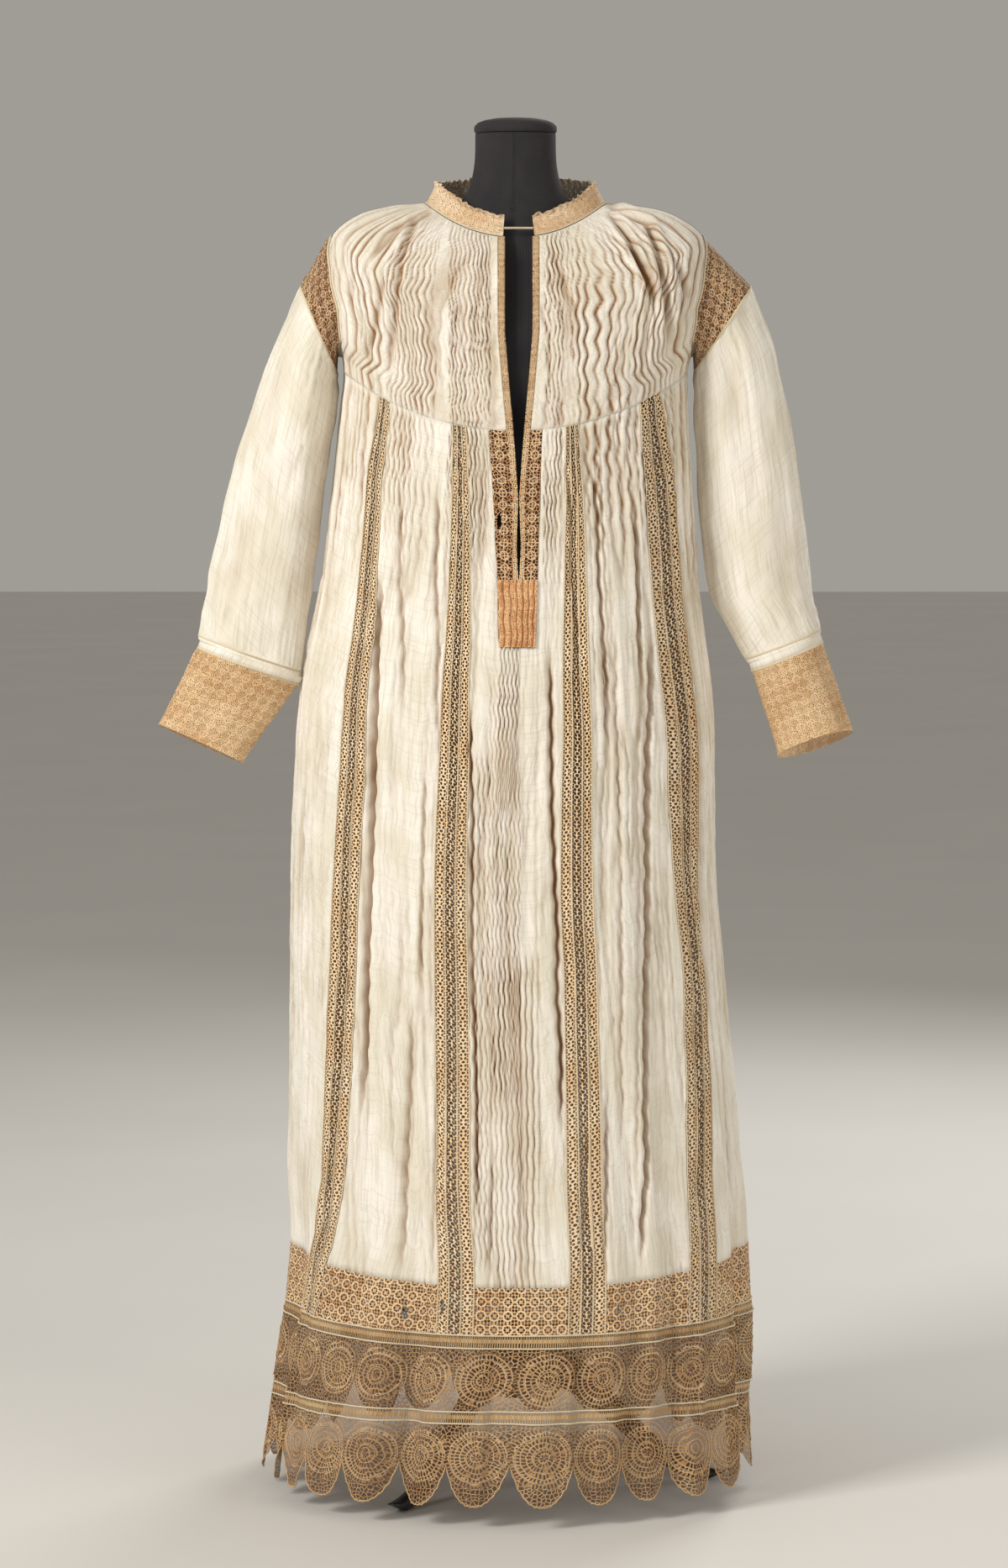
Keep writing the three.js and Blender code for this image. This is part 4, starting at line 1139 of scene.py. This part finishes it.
for insertion in INSERTION_NAMES:
    low, high = (insertion_edge(insertion, insertion_steps, edge) for edge in (-1, 1))
    lines = [low + (high - low) * share for share in CORD_SHARES]
    paths = [on_skirt(line, insertion_steps, CORD_OUT)[0] for line in lines]
    outwards = [outward_at(line, insertion_steps) for line in lines]
    cords = threads(f"insertion_cords_{insertion}", paths, outwards, CORD_RADIUS, WHITE_CORD,
                    sides=4)
    angles, steps = ring_grid(low, high, insertion_steps, RIBBON_COLUMNS)
    points, _ = on_skirt(angles, steps)
    node = f"insertion_{insertion}"
    cloth(f"insertion_lace_{insertion}", points, INSERTION_LACE, "insertion_lace", [node],
          uv=side_stretched(points),
          keep=outside_tear(node, angles, steps))

# %% [markdown]
# ## Hem lace and flounce
# Below the linen comes a band of ring-in-square lace, then a header tape, a deep row of wheels, a second
# tape and a last row of wheels with scalloped edges. The wheels stand 67 mm apart, 28 of them round the
# hem. Their rims and the cords of the headers are real threads.

# %% Hem lace
HEM_PANELS = {**SKIRT, "front_centre": ("front_inner_left", "front_inner_right", 40, 0)}
HEM_ROWS = 14
hem_steps = np.linspace(LINEN_HEM, INSERTION_END, HEM_ROWS + 1)
for name, panel in HEM_PANELS.items():
    angles, steps = panel_grid(hem_steps, *panel)
    node = f"hem_lace_{name}"
    cloth(f"hem_band_{name}", on_skirt(angles, steps)[0], HEM_LACE, "bobbin_lace", [node],
          keep=outside_tear(node, angles, steps))

# %% Flounce
LOBES = 28
LOBE = TURN / LOBES
NOTCH_RISE = 0.48
FLOUNCE_COLUMNS = LOBES * 40
PICOTS = 12
PICOT_DEPTH = 0.03


def flounce_points(angle, step, out=0.0):
    """The flounce carries the skirt's deep folds and has small flutes of its own."""
    flutes = 8.5 * uneven(angle * 13, step * 0.25, 21) + 3.2 * uneven(angle * 30, step * 0.4, 22)
    flutes = flutes * ease((step - INSERTION_END + 0.5) / 4)
    height, _ = skirt_relief(angle, np.minimum(step, INSERTION_END))
    settle = 1 - 0.8 * ease((step - INSERTION_END) / 3)
    lift = (drape(angle, step) + height * settle + flutes + CLOTH_OUT + out)[..., None]
    return surface(angle, step) + outward_at(angle, step) * lift


def lobe_place(angle):
    """Where in its lobe an angle lies, from -1 to 1."""
    return 2 * (np.mod((angle + math.pi) / LOBE, 1) - 0.5)


def scallop_step(angle, step):
    """The last row's steps, lifted between the lobes and bitten by picots."""
    across = np.abs(lobe_place(angle))
    picot = np.abs(np.cos(math.pi * PICOTS * lobe_place(angle) / 2)) ** 0.7
    rise = NOTCH_RISE * across**2 + PICOT_DEPTH * picot
    share = np.clip((step - SCALLOP_TOP) / (HEM - SCALLOP_TOP), 0, 1)
    return step - rise * share


def flounce_uv(angle, points):
    size = measures(points)
    wheels = (angle + math.pi) / LOBE * WHEEL_PITCH
    return np.stack([wheels, size[..., 1]], -1)


flounce_angles = np.linspace(-math.pi, math.pi, FLOUNCE_COLUMNS + 1)
FLOUNCE_PARTS = [  # name, first and last step, rows, finish, node
    ("header_tape_upper", INSERTION_END, FLOUNCE_TOP, 2, TAPE, None),
    ("wheel_lace_upper", FLOUNCE_TOP, SECOND_HEADER, 16, UPPER_WHEELS, "flounce_upper"),
    ("header_tape_lower", SECOND_HEADER, SCALLOP_TOP, 2, TAPE, None),
    ("wheel_lace_lower", SCALLOP_TOP, HEM, 20, LOWER_WHEELS, "flounce_lower"),
]
for name, first, last, rows, finish, node in FLOUNCE_PARTS:
    angles, steps = np.meshgrid(flounce_angles, np.linspace(first, last, rows + 1))
    scalloped = last == HEM
    if scalloped:
        steps = scallop_step(angles, steps)
    points = flounce_points(angles, steps)
    nodes = [f"{node}_{side}" for side in SIDES] if node else []
    cloth(name, points, finish, "bobbin_lace", nodes,
          uv=flounce_uv(angles, points), scalloped=scalloped)

# %% Cords of the headers, and the scallops' edge
cord_angles = np.linspace(-math.pi, math.pi, LOBES * 24, endpoint=False)
header_steps = (INSERTION_END, FLOUNCE_TOP, SECOND_HEADER, SCALLOP_TOP)
cord_steps = [np.full_like(cord_angles, step) for step in header_steps]
paths = [flounce_points(cord_angles, steps, 0.8) for steps in cord_steps]
outwards = [outward_at(cord_angles, steps) for steps in cord_steps]
threads("header_cords", paths, outwards, 1.1, WHITE_CORD, ring=True)

edge_angles = flounce_angles[:-1]
edge_steps = scallop_step(edge_angles, np.full_like(edge_angles, HEM))
edge = flounce_points(edge_angles, edge_steps, 0.2)
outwards = [outward_at(edge_angles, edge_steps)]
threads("scallop_edge", [edge], outwards, 0.9, TAN_CORD, ring=True)

# %% Wheel rims
WHEEL_RIMS = {  # step of the wheels' middle, radii of their raised rings
    "upper": (21.5, (10, 26)),
    "lower": (23.42, (11, 29)),
}
RIM_POINTS = 28


def wheel_ring(lobe, middle, radius):
    """A ring in the cloth around a wheel's middle."""
    turn = np.arange(RIM_POINTS) / RIM_POINTS * TURN
    angle = -math.pi + (lobe + 0.5) * LOBE
    step_height = np.linalg.norm(surface(angle, middle + 0.05) - surface(angle, middle - 0.05)) / 0.1
    angles = angle + radius * np.sin(turn) / (WHEEL_PITCH / LOBE)
    return angles, middle + radius * np.cos(turn) / step_height


for row, (middle, radii) in WHEEL_RIMS.items():
    rings = [wheel_ring(lobe, middle, radius) for lobe in range(LOBES) for radius in radii]
    paths = [flounce_points(*ring, 0.5) for ring in rings]
    outwards = [outward_at(*ring) for ring in rings]
    threads(f"wheel_rims_{row}", paths, outwards, 0.6, TAN_CORD, sides=4, ring=True)

# %% [markdown]
# ## Yoke
# The yoke is the part over the shoulders and chest. Its linen is pleated in groups that run down from the
# neckband, straight over the chest and fanned out towards the armholes. Soft folds spread from the neck. The
# pleats fade out just before each seam, because there they are sewn flat.

# %% Pleats and folds of the yoke
# depth, width, then x and height of the points along the fold
FRONT_FOLDS = [
    (4, 4, [(-158, 1480), (-168, 1420), (-181, 1376)]),
    (5, 4, [(-118, 1555), (-138, 1500), (-152, 1351)]),
    (4, 4, [(-96, 1562), (-140, 1540), (-176, 1500)]),
    (8, 4, [(104, 1572), (159, 1545), (172, 1511), (182, 1451), (188, 1375)]),
    (6, 3.6, [(110, 1562), (135, 1531), (157, 1478), (167, 1440)]),
    (5, 3.4, [(136, 1525), (158, 1480), (172, 1447)]),
    (5, 3.4, [(194, 1500), (209, 1452)]),
]
BACK_FOLDS = [(5, 4, [(side * 110, 1570), (side * 150, 1500), (side * 172, 1400)]) for side in (-1, 1)]
GATHER_PITCH = 3.4  # of the small gathers under the neckband


def distance_to_path(x, z, path):
    """How far each place is from a path of straight lines, and how far along it the nearest point lies."""
    best = np.full(x.shape, 1e9)
    along = np.zeros(x.shape)
    spans = len(path) - 1
    for k, ((x0, z0), (x1, z1)) in enumerate(zip(path[:-1], path[1:])):
        run = (x1 - x0) ** 2 + (z1 - z0) ** 2
        share = np.clip(((x - x0) * (x1 - x0) + (z - z0) * (z1 - z0)) / run, 0, 1)
        off = np.hypot(x - x0 - share * (x1 - x0), z - z0 - share * (z1 - z0))
        nearer = off < best
        best, along = np.where(nearer, off, best), np.where(nearer, (k + share) / spans, along)
    return best, along


def yoke_relief(angle, step, points, folds):
    """Height of the yoke, and the painted shade in its folds: its pleats, the gathers at the neck, folds and
    crinkles.
    """
    x, z = points[..., 0], points[..., 2]
    height, crease_shade = pleats_at(angle, step)
    gathers = pleated(angle * 110 / GATHER_PITCH + uneven(angle * 20, step * 3, 17), 2.0)
    at_neck = 1 - ease(step / 0.75)
    height = height * (1 - 0.5 * at_neck) + 1.8 * at_neck * (gathers - 0.6)
    crease_shade = crease_shade * (1 - 0.5 * at_neck) + 0.6 * at_neck * (1 - gathers)
    for depth, width, path in folds:
        off, along = distance_to_path(x, z, path)
        ends = ease(along / 0.12) * ease((1 - along) / 0.2)
        dent = np.exp(-((off / width) ** 2)) * ends
        ridge = np.exp(-(((off - 2.2 * width) / width) ** 2)) * ends
        height, crease_shade = height - depth * dent + 0.35 * depth * ridge, crease_shade + 0.45 * dent
    fine = crinkles(angle * 180, z, 80) * ease(step / 2)
    return height + uneven(x / 24, z / 40, 16) - fine, crease_shade + 0.16 * fine


def yoke_half(side, on_back, columns, rows):
    """A grid over one half of the yoke's front or back."""
    steps = np.linspace(0, YOKE_SEAM, rows + 1)
    inner = np.full_like(steps, side * math.pi) if on_back else edging_edge(side, steps)
    outer = arm_edge(side, np.maximum(steps, SHOULDER_POINT), on_back)
    outer = np.where(steps > UNDERARM, side * math.pi / 2, outer)
    low, high = (inner, outer) if (side > 0) != on_back else (outer, inner)
    angles, steps = ring_grid(low, high, steps, columns)
    base = surface(angles, steps)
    size = measures(base)
    from_side = np.minimum(size[..., 0] - size[:, :1, 0], size[:, -1:, 0] - size[..., 0])
    fade = ease(from_side / 4) * ease(size[..., 1] / 3) * sewn_flat(steps)[1]
    height, crease_shade = yoke_relief(angles, steps, base, BACK_FOLDS if on_back else FRONT_FOLDS)
    return base + outward_at(angles, steps) * (height * fade + CLOTH_OUT)[..., None], crease_shade * fade


YOKE_ROWS = 72
YOKE_COLUMNS = {False: 196, True: 150}
for side_name, side in SIDES.items():
    for on_back, place in ((False, "front"), (True, "back")):
        linen_panel(f"linen_yoke_{place}_{side_name}", f"yoke_{place}_{side_name}",
                    *yoke_half(side, on_back, YOKE_COLUMNS[on_back], YOKE_ROWS))

# %% [markdown]
# ## Edges of the yoke
# Narrow lace runs beside the front opening and over the shoulders. Below the yoke seam the edging widens
# into two small lace panels, and between them and the skirt sits a pleated gusset. The neckband leans
# inwards and has an uneven frill.

# %% Slit edging, centre lace, shoulder strips
STRIP_OUT = 0.3


def strip(name, seams, first, last, rows, columns, finish, slot_name, node, relief=None):
    """A narrow sheet between two seams, each a function that gives its angle at some steps."""
    steps = np.linspace(first, last, rows + 1)
    angles, steps = ring_grid(*(seam(steps) for seam in seams), steps, columns)
    lift = drape(angles, steps) + CLOTH_OUT + STRIP_OUT + (relief(angles, steps) if relief else 0)
    points = surface(angles, steps) + outward_at(angles, steps) * lift[..., None]
    cloth(name, points, finish, slot_name, [node],
          keep=outside_tear(node, angles, steps))


def ordered(side, inner, outer):
    return (inner, outer) if side > 0 else (outer, inner)


def edging(side):
    return ordered(side, lambda at: slit_edge(side, at), lambda at: edging_edge(side, at))


def centre_panel(side):
    return ordered(side, lambda at: edging_edge(side, at), lambda at: notch_edge(side, at))


def shoulder(side):
    front, back = (lambda at, on_back=on_back: arm_edge(side, np.full_like(at, SHOULDER_POINT), on_back)
                   for on_back in (False, True))
    return ordered(side, front, back)


STRIPS = [  # name, seams, first and last step, rows, columns, finish, slot, node
    ("edging", edging, 0, GUSSET_TOP, 100, 6, EDGING_LACE, "insertion_lace", "slit_edging"),
    ("centre_panel", centre_panel, YOKE_SEAM, GUSSET_TOP, 70, 20, CENTRE_LACE, "insertion_lace",
     "centre_lace"),
    ("shoulder_lace", shoulder, 0, SHOULDER_POINT, 50, 8, EDGING_LACE, "cuff_lace", "shoulder_strip"),
]
for side_name, side in SIDES.items():
    for name, seams, *sizes, slot_name, node in STRIPS:
        strip(f"{name}_{side_name}", seams(side), *sizes, slot_name, f"{node}_{side_name}")

# %% Gusset
GUSSET_PLEATS = 6.5


def gusset_relief(angle, step):
    low, high = notch_edge(-1, step), notch_edge(1, step)
    share = (angle - low) / (high - low)
    wave = 0.12 * zigzag((step - GUSSET_TOP) * 2.2)
    return 3.2 * (pleated(share * GUSSET_PLEATS + wave) - 0.6)


notch = [lambda at: notch_edge(-1, at), lambda at: notch_edge(1, at)]
strip("gusset", notch, GUSSET_TOP, GUSSET_END, 40, 90, GUSSET_LACE, "insertion_lace", "centre_gusset",
      gusset_relief)

# %% Neckband
# half width, depth in front and at the back, height at the side, front and back
BAND = np.array([
    [108, 82, 72, 1572, 1529, 1585], [99, 76, 65, 1589, 1546, 1599], [96, 73, 62, 1596, 1553, 1606],
], float)


def band_points(angle, row, out):
    """Points of the neckband, or of a thread beside it."""
    ring = np.moveaxis(blended(BAND, row), -1, 0)
    sine, cosine = np.sin(angle), np.cos(angle)
    away = unit(np.stack([sine * np.where(cosine > 0, ring[1], ring[2]), -cosine * ring[0], 0 * sine], -1))
    return full_ring(angle, *ring) + away * np.asarray(out)[..., None]


BAND_END_X, BAND_HALF = 16.5, 110


def band_end(side):
    """The angle at which one half of the neckband starts, beside the opening."""
    return side * math.asin((BAND_END_X + side * SLIT_X) / BAND_HALF)


for side_name, side in SIDES.items():
    low, high = ordered(side, band_end(side), side * math.pi)
    angles, rows = np.meshgrid(low + (high - low) * np.linspace(0, 1, 241), np.linspace(0, 2, 13))
    frill = ease(rows - 1)
    ruffle = 2.0 * np.sin(angles * 62) + 1.4 * uneven(angles * 40, rows, 31)
    points = band_points(angles, rows, 0.6 + frill * ruffle)
    points[..., 2] += frill * (1.6 * np.abs(np.sin(angles * 31)) + 1.5 * uneven(angles * 22, 0 * rows, 32))
    cloth(f"neck_lace_{side_name}", points[::-1], NECK_LACE, "bobbin_lace", [f"neckband_{side_name}"])

# %% [markdown]
# A twisted white thread joins the two ends of the neckband: two thin strands wound round each other.

# %% Neck tie
tie_low, tie_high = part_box("neck_tie")
TIE_TURNS, TIE_POINTS, STRAND = 5, 60, 0.8
run = np.linspace(0, 1, TIE_POINTS)
_, y, z = (np.array(tie_low) + np.array(tie_high)) / 2
tie_path = np.outer(1 - run, [tie_low.x, y, z]) + np.outer(run, [tie_high.x, y, z])
tie_path = (tie_path - AXIS) / MM
strands = []
for turn in (0, 0.5):
    phase = TURN * (run * TIE_TURNS + turn)
    strands.append(tie_path + STRAND * np.stack([0 * run, np.cos(phase), np.sin(phase)], -1))
up = np.tile([0.0, 0.0, 1.0], (TIE_POINTS, 1))
tie = threads("tie_thread", strands, [up, up], STRAND, WHITE_CORD, sides=8)
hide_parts("neck_tie")

# %% [markdown]
# ## Sleeves
# A sleeve starts at the armhole as a ring of lace, becomes a straight tube of linen that bends a little at
# the elbow, and ends in a narrow band and a flared lace cuff. Its sections are ellipses between an outer
# and an inner edge. The cloth falls in long folds down the arm, and gathers into the band.

# %% Sleeve sections
# outer edge x and height, inner edge x and height, half depth, how far forward the middle lies, tilt of the
# front edge
SLEEVES = {
    -1: np.array([
        [-262, 1470, -219, 1368, 56, 0, 0], [-300, 1384, -220, 1335, 50, -2, 0],
        [-336, 1277, -231, 1250, 46, -6, 0], [-360, 1170, -240, 1164, 42, -12, 0],
        [-376, 1098, -250, 1085, 38, -16, 0], [-387, 1046, -262, 1001, 32, -20, 0],
        [-388, 1031, -265, 986, 31, -22, 0], [-436, 937, -334, 890, 24, -28, 8],
    ], float),
    1: np.array([
        [287, 1470, 219, 1368, 56, 0, 0], [315, 1384, 219, 1330, 50, -2, 0],
        [338, 1277, 223, 1240, 46, -6, 0], [353, 1170, 230, 1150, 44, -12, 0],
        [361, 1098, 243, 1085, 42, -18, 0], [372, 1053, 281, 1018, 41, -24, 0],
        [375, 1038, 289, 1003, 41, -26, 0], [411, 928, 321, 899, 38, -34, 21],
    ], float),
}
ARMHOLE_STEPS = ARMHOLE[:, 0]
ARMHOLE_GAP = 1.5


def armhole_points(side, turn):
    """The armhole's edge, for turns from the shoulder forwards and round."""
    share = np.mod(turn, 1) * 2
    on_back = share > 1
    knots = np.linspace(0, 1, len(ARMHOLE_STEPS))
    step = np.interp(np.where(on_back, 2 - share, share), knots, ARMHOLE_STEPS)
    ends = np.minimum(share, np.minimum(np.abs(share - 1), 2 - share))
    angle = np.where(on_back, arm_edge(side, step, True), arm_edge(side, step, False))
    shut = ease(1 - ends / 0.03)
    angle = angle * (1 - shut) + side * math.pi / 2 * shut
    return surface(angle, step) + outward_at(angle, step) * CLOTH_OUT


def sleeve_points(side, turn, section):
    """The sleeve's smooth surface. Section 0 is the armhole and 8 the edge of the cuff."""
    phi = turn * TURN
    cosine, sine = np.cos(phi), np.sin(phi)
    outer_x, outer_z, inner_x, inner_z, depth, middle, tilt = np.moveaxis(
        blended(SLEEVES[side], np.maximum(section - 1, 0)), -1, 0)
    x = (outer_x + inner_x) / 2 + (outer_x - inner_x) / 2 * cosine
    y = middle - sine * depth
    z = (outer_z + inner_z) / 2 + (outer_z - inner_z) / 2 * cosine + sine * tilt / 2
    ring = np.stack([x, y, z], -1)
    start = armhole_points(side, turn)
    start[..., 0] += side * ARMHOLE_GAP * (1.5 - cosine / 2)
    share = ease(np.clip(section, 0, 1))[..., None] * 0.35 + np.clip(section, 0, 1)[..., None] * 0.65
    return start * (1 - share) + ring * share


def sleeve_relief(side, turn, section, gathers):
    """Long folds down the arm, creases across the elbow, and small gathers at the band."""
    seed = 40 + side * 5
    long_folds = 3.2 * uneven(turn * 12, section * 0.45, seed)
    long_folds = long_folds + 1.2 * uneven(turn * 30, section * 0.9, seed + 1)
    slanting = 1.6 * uneven(turn * 9 + section * 1.4, section * 2.2, seed + 2)
    small = -0.6 * crinkles(turn * 300, section * 72 + turn * 60, seed + 3)
    near_band = ease((section - 5.0) / 0.9) * gathers
    pleats = 2.0 * (pleated(turn * 46 + 0.2 * uneven(turn * 20, section * 4, seed + 4)) - 0.6) * near_band
    return (long_folds + slanting + small) * (1 - 0.5 * near_band) + pleats


SLEEVE_PARTS = [
    # name, node, sections, rows, columns, strength of its folds, finish, slot, thickness
    ("sleeve_top", "sleeve_lace", 0, 1, 24, 100, 0.6, SHOULDER_LACE, "cuff_lace", 0),
    ("sleeve_linen", "sleeve", 1, 6, 96, 130, 1, LINEN, "linen", LINEN_THICK),
    ("wrist_band", "sleeve_band", 6, 7, 6, 130, 0.2, LINEN, "linen", LINEN_THICK),
    ("cuff_lace", "cuff", 7, 8, 28, 120, 0.8, CUFF_LACE, "cuff_lace", 0),
]
SLEEVE_OUT = 0.7  # millimetres outside its surface
FADE_OVER = 0.12  # of a section, over which its folds fade at both ends
for side_name, side in SIDES.items():
    for name, node, first, last, rows, columns, strength, finish, slot_name, thick in SLEEVE_PARTS:
        turns, sections = np.meshgrid(np.linspace(0, 1, columns + 1), np.linspace(first, last, rows + 1))
        smooth = sleeve_points(side, turns, sections)
        outward = unit(np.cross(np.gradient(smooth, axis=0), np.gradient(smooth, axis=1)))
        if outward[rows // 2, 0, 0] * side < 0:
            outward = -outward
        fade = ease((sections - first) / FADE_OVER) * ease((last - sections) / FADE_OVER)
        height = sleeve_relief(side, turns, sections, name == "sleeve_linen") * fade * strength
        height[:, -1] = height[:, 0]
        points = smooth + outward * (height + SLEEVE_OUT)[..., None]
        points[:, -1] = points[:, 0]
        # painted shade in the sleeve's folds, from how deep they are
        crease_shade = np.clip(-height / 30, 0, 0.2)
        if side > 0:
            points, crease_shade = points[:, ::-1], crease_shade[:, ::-1]
        cloth(f"{name}_{side_name}", points, finish, slot_name, [f"{node}_{side_name}"],
              crease_shade=crease_shade, thick=thick)

# %% [markdown]
# The sleeve's rounds of sewing show as pale cords: where its lace meets the yoke, where the linen starts,
# and at the cuff.

# %% Seam cords of the sleeves and the neck
SEAM_TURNS = np.linspace(0, 1, 180, endpoint=False)
for side_name, side in SIDES.items():
    armhole = armhole_points(side, SEAM_TURNS)
    armhole[..., 0] += side * 1.2
    rounds = [armhole] + [sleeve_points(side, SEAM_TURNS, np.full_like(SEAM_TURNS, at)) for at in (1, 6, 7)]
    away = np.tile([side * 0.8, 0.0, 0.6], (len(SEAM_TURNS), 1))
    threads(f"sleeve_seams_{side_name}", rounds, [away] * 4, 1.5, WHITE_CORD, sides=6, ring=True)

NECK_POINTS = 160
upward = np.tile([0.0, 0.0, 1.0], (NECK_POINTS, 1))
halves = [np.linspace(band_end(side), side * math.pi, NECK_POINTS) for side in SIDES.values()]
paths = [band_points(half, np.zeros(NECK_POINTS), np.full(NECK_POINTS, 1.4)) for half in halves]
threads("neck_seam", paths, [upward] * 2, 1.0, WHITE_CORD, sides=6)

# %% [markdown]
# ## Dress form and stand
# The form is a padded torso under charcoal jersey, with a round cap on its neck. It stands on a black iron
# pole with three curved legs. All of it is smooth and whole, also where the alb hides it.

# %% Torso
# height, half width, depth in front and at the back
TORSO = np.array([
    [850, 156, 112, 126], [880, 165, 119, 134], [960, 169, 122, 136], [1050, 152, 110, 120],
    [1150, 134, 99, 101], [1250, 150, 116, 108], [1330, 168, 131, 116], [1400, 178, 122, 112],
    [1450, 184, 104, 103], [1490, 187, 88, 92], [1515, 180, 76, 82], [1532, 165, 68, 74],
    [1545, 140, 63, 68], [1555, 105, 60, 64], [1561, 86, 58, 62], [1575, 66, 56, 61], [1592, 56, 54, 56],
    [1620, 50, 50, 50], [1655, 49, 49, 49],
], float)
TORSO_ROWS, TORSO_COLUMNS = 90, 96


def swept_piece(name, rings, finish, node):
    """A closed body through rings of points, which run anticlockwise from above and rise."""
    rows, columns = rings.shape[:2]
    bottom = np.arange(columns)
    ends = [bottom[::-1].tolist(), (bottom + (rows - 1) * columns).tolist()]
    down = run_along(np.linalg.norm(np.diff(rings, axis=0), axis=2).mean(1))
    radius = np.linalg.norm(rings - rings.mean(1, keepdims=True), axis=2).mean()
    uv = np.stack(np.meshgrid(bottom / columns * TURN * radius, down), -1).reshape(-1, 2)
    faces = [*tube_faces(rows, columns).tolist(), *ends]
    piece = mesh_piece(name, rings.reshape(-1, 3), faces, finish, uv)
    if node:
        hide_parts(node)


around = np.arange(TORSO_COLUMNS) / TORSO_COLUMNS * TURN
sections = blended(TORSO, np.linspace(0, len(TORSO) - 1, TORSO_ROWS))
z, half, front, back = (column[:, None] for column in sections.T)
torso = full_ring(around, half, front, back, z, z, z)
swept_piece("padded_torso", torso, JERSEY, "form_torso")

# %% Neck cap, pole and legs
CAP_PROFILE = [
    (46, 0.4), (48.4, 0.9), (50.2, 3), (50.5, 6), (50, 9.5), (46, 13.6), (38, 16.6), (26, 18.8),
    (10, 19.9), (1, 20),
]
POLE_PROFILE = [(10.6, 190.4), (11, 191), (11, 480), (11, 700), (11, 849), (10.6, 849.6)]
HUB_PROFILE = [(15, 100.4), (19, 101.5), (20, 104), (20, 140), (20, 186), (19, 188.8), (14, 189.9)]


def turned(profile, base=0, columns=48):
    """Rings of a lathe profile, given as radius and height."""
    around = np.arange(columns) / columns * TURN
    x, y = np.cos(around), np.sin(around)
    return np.array([np.stack([r * x, r * y, np.full(columns, base + z)], -1) for r, z in profile])


swept_piece("neck_cap", turned(CAP_PROFILE, TORSO[-1, 0]), JERSEY, "form_neck_cap")
swept_piece("iron_pole", turned(POLE_PROFILE), ENAMEL, "stand_pole")
swept_piece("stand_hub", turned(HUB_PROFILE), ENAMEL, "stand_base")

LEG_ANGLES = (-5, -125, 115)
LEG_TOP = ((8, 178), (110, 175), (150, 20), (262, 12))
LEG_UNDER = ((8, 112), (90, 140), (150, 6), (236, 0))
LEG_HALF = 7
LEG_ROWS = 40


def bezier(points, share):
    a, b, c, d = (np.array(p, float) for p in points)
    t = share[:, None]
    return a * (1 - t) ** 3 + 3 * b * t * (1 - t) ** 2 + 3 * c * t**2 * (1 - t) + d * t**3


share = np.linspace(0, 1, LEG_ROWS)
upper, under = bezier(LEG_TOP, share), bezier(LEG_UNDER, share)
round_off = np.array([(-1, -0.6), (-0.7, -1), (0.7, -1), (1, -0.6), (1, 0.6), (0.7, 1), (-0.7, 1), (-1, 0.6)])
for number, angle in enumerate(LEG_ANGLES):
    rings = []
    for top, low in zip(upper, under):
        middle, half = (top + low) / 2, (top - low) / 2
        rings.append([(middle[0] + v * half[0], u * LEG_HALF, middle[1] + v * half[1]) for u, v in round_off])
    rings = np.array(rings)
    turn = math.radians(angle)
    x = rings[..., 0] * math.cos(turn) - rings[..., 1] * math.sin(turn)
    y = rings[..., 0] * math.sin(turn) + rings[..., 1] * math.cos(turn)
    swept_piece(f"stand_leg_{number + 1}", np.stack([x, y, rings[..., 2]], -1), ENAMEL, None)

# %% Sizes, and the end
print("about", made_triangles, "triangles of cloth and thread")
low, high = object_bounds()
sizes = {"cad": [list(cad_low), list(cad_high)], "visual": [list(low), list(high)]}
past_low, past_high = ((Vector(cad_low) - Vector(low)) / MM, (Vector(high) - Vector(cad_high)) / MM)
print("past the packed model:", [round(side, 1) for side in (*past_low, *past_high)], "mm")
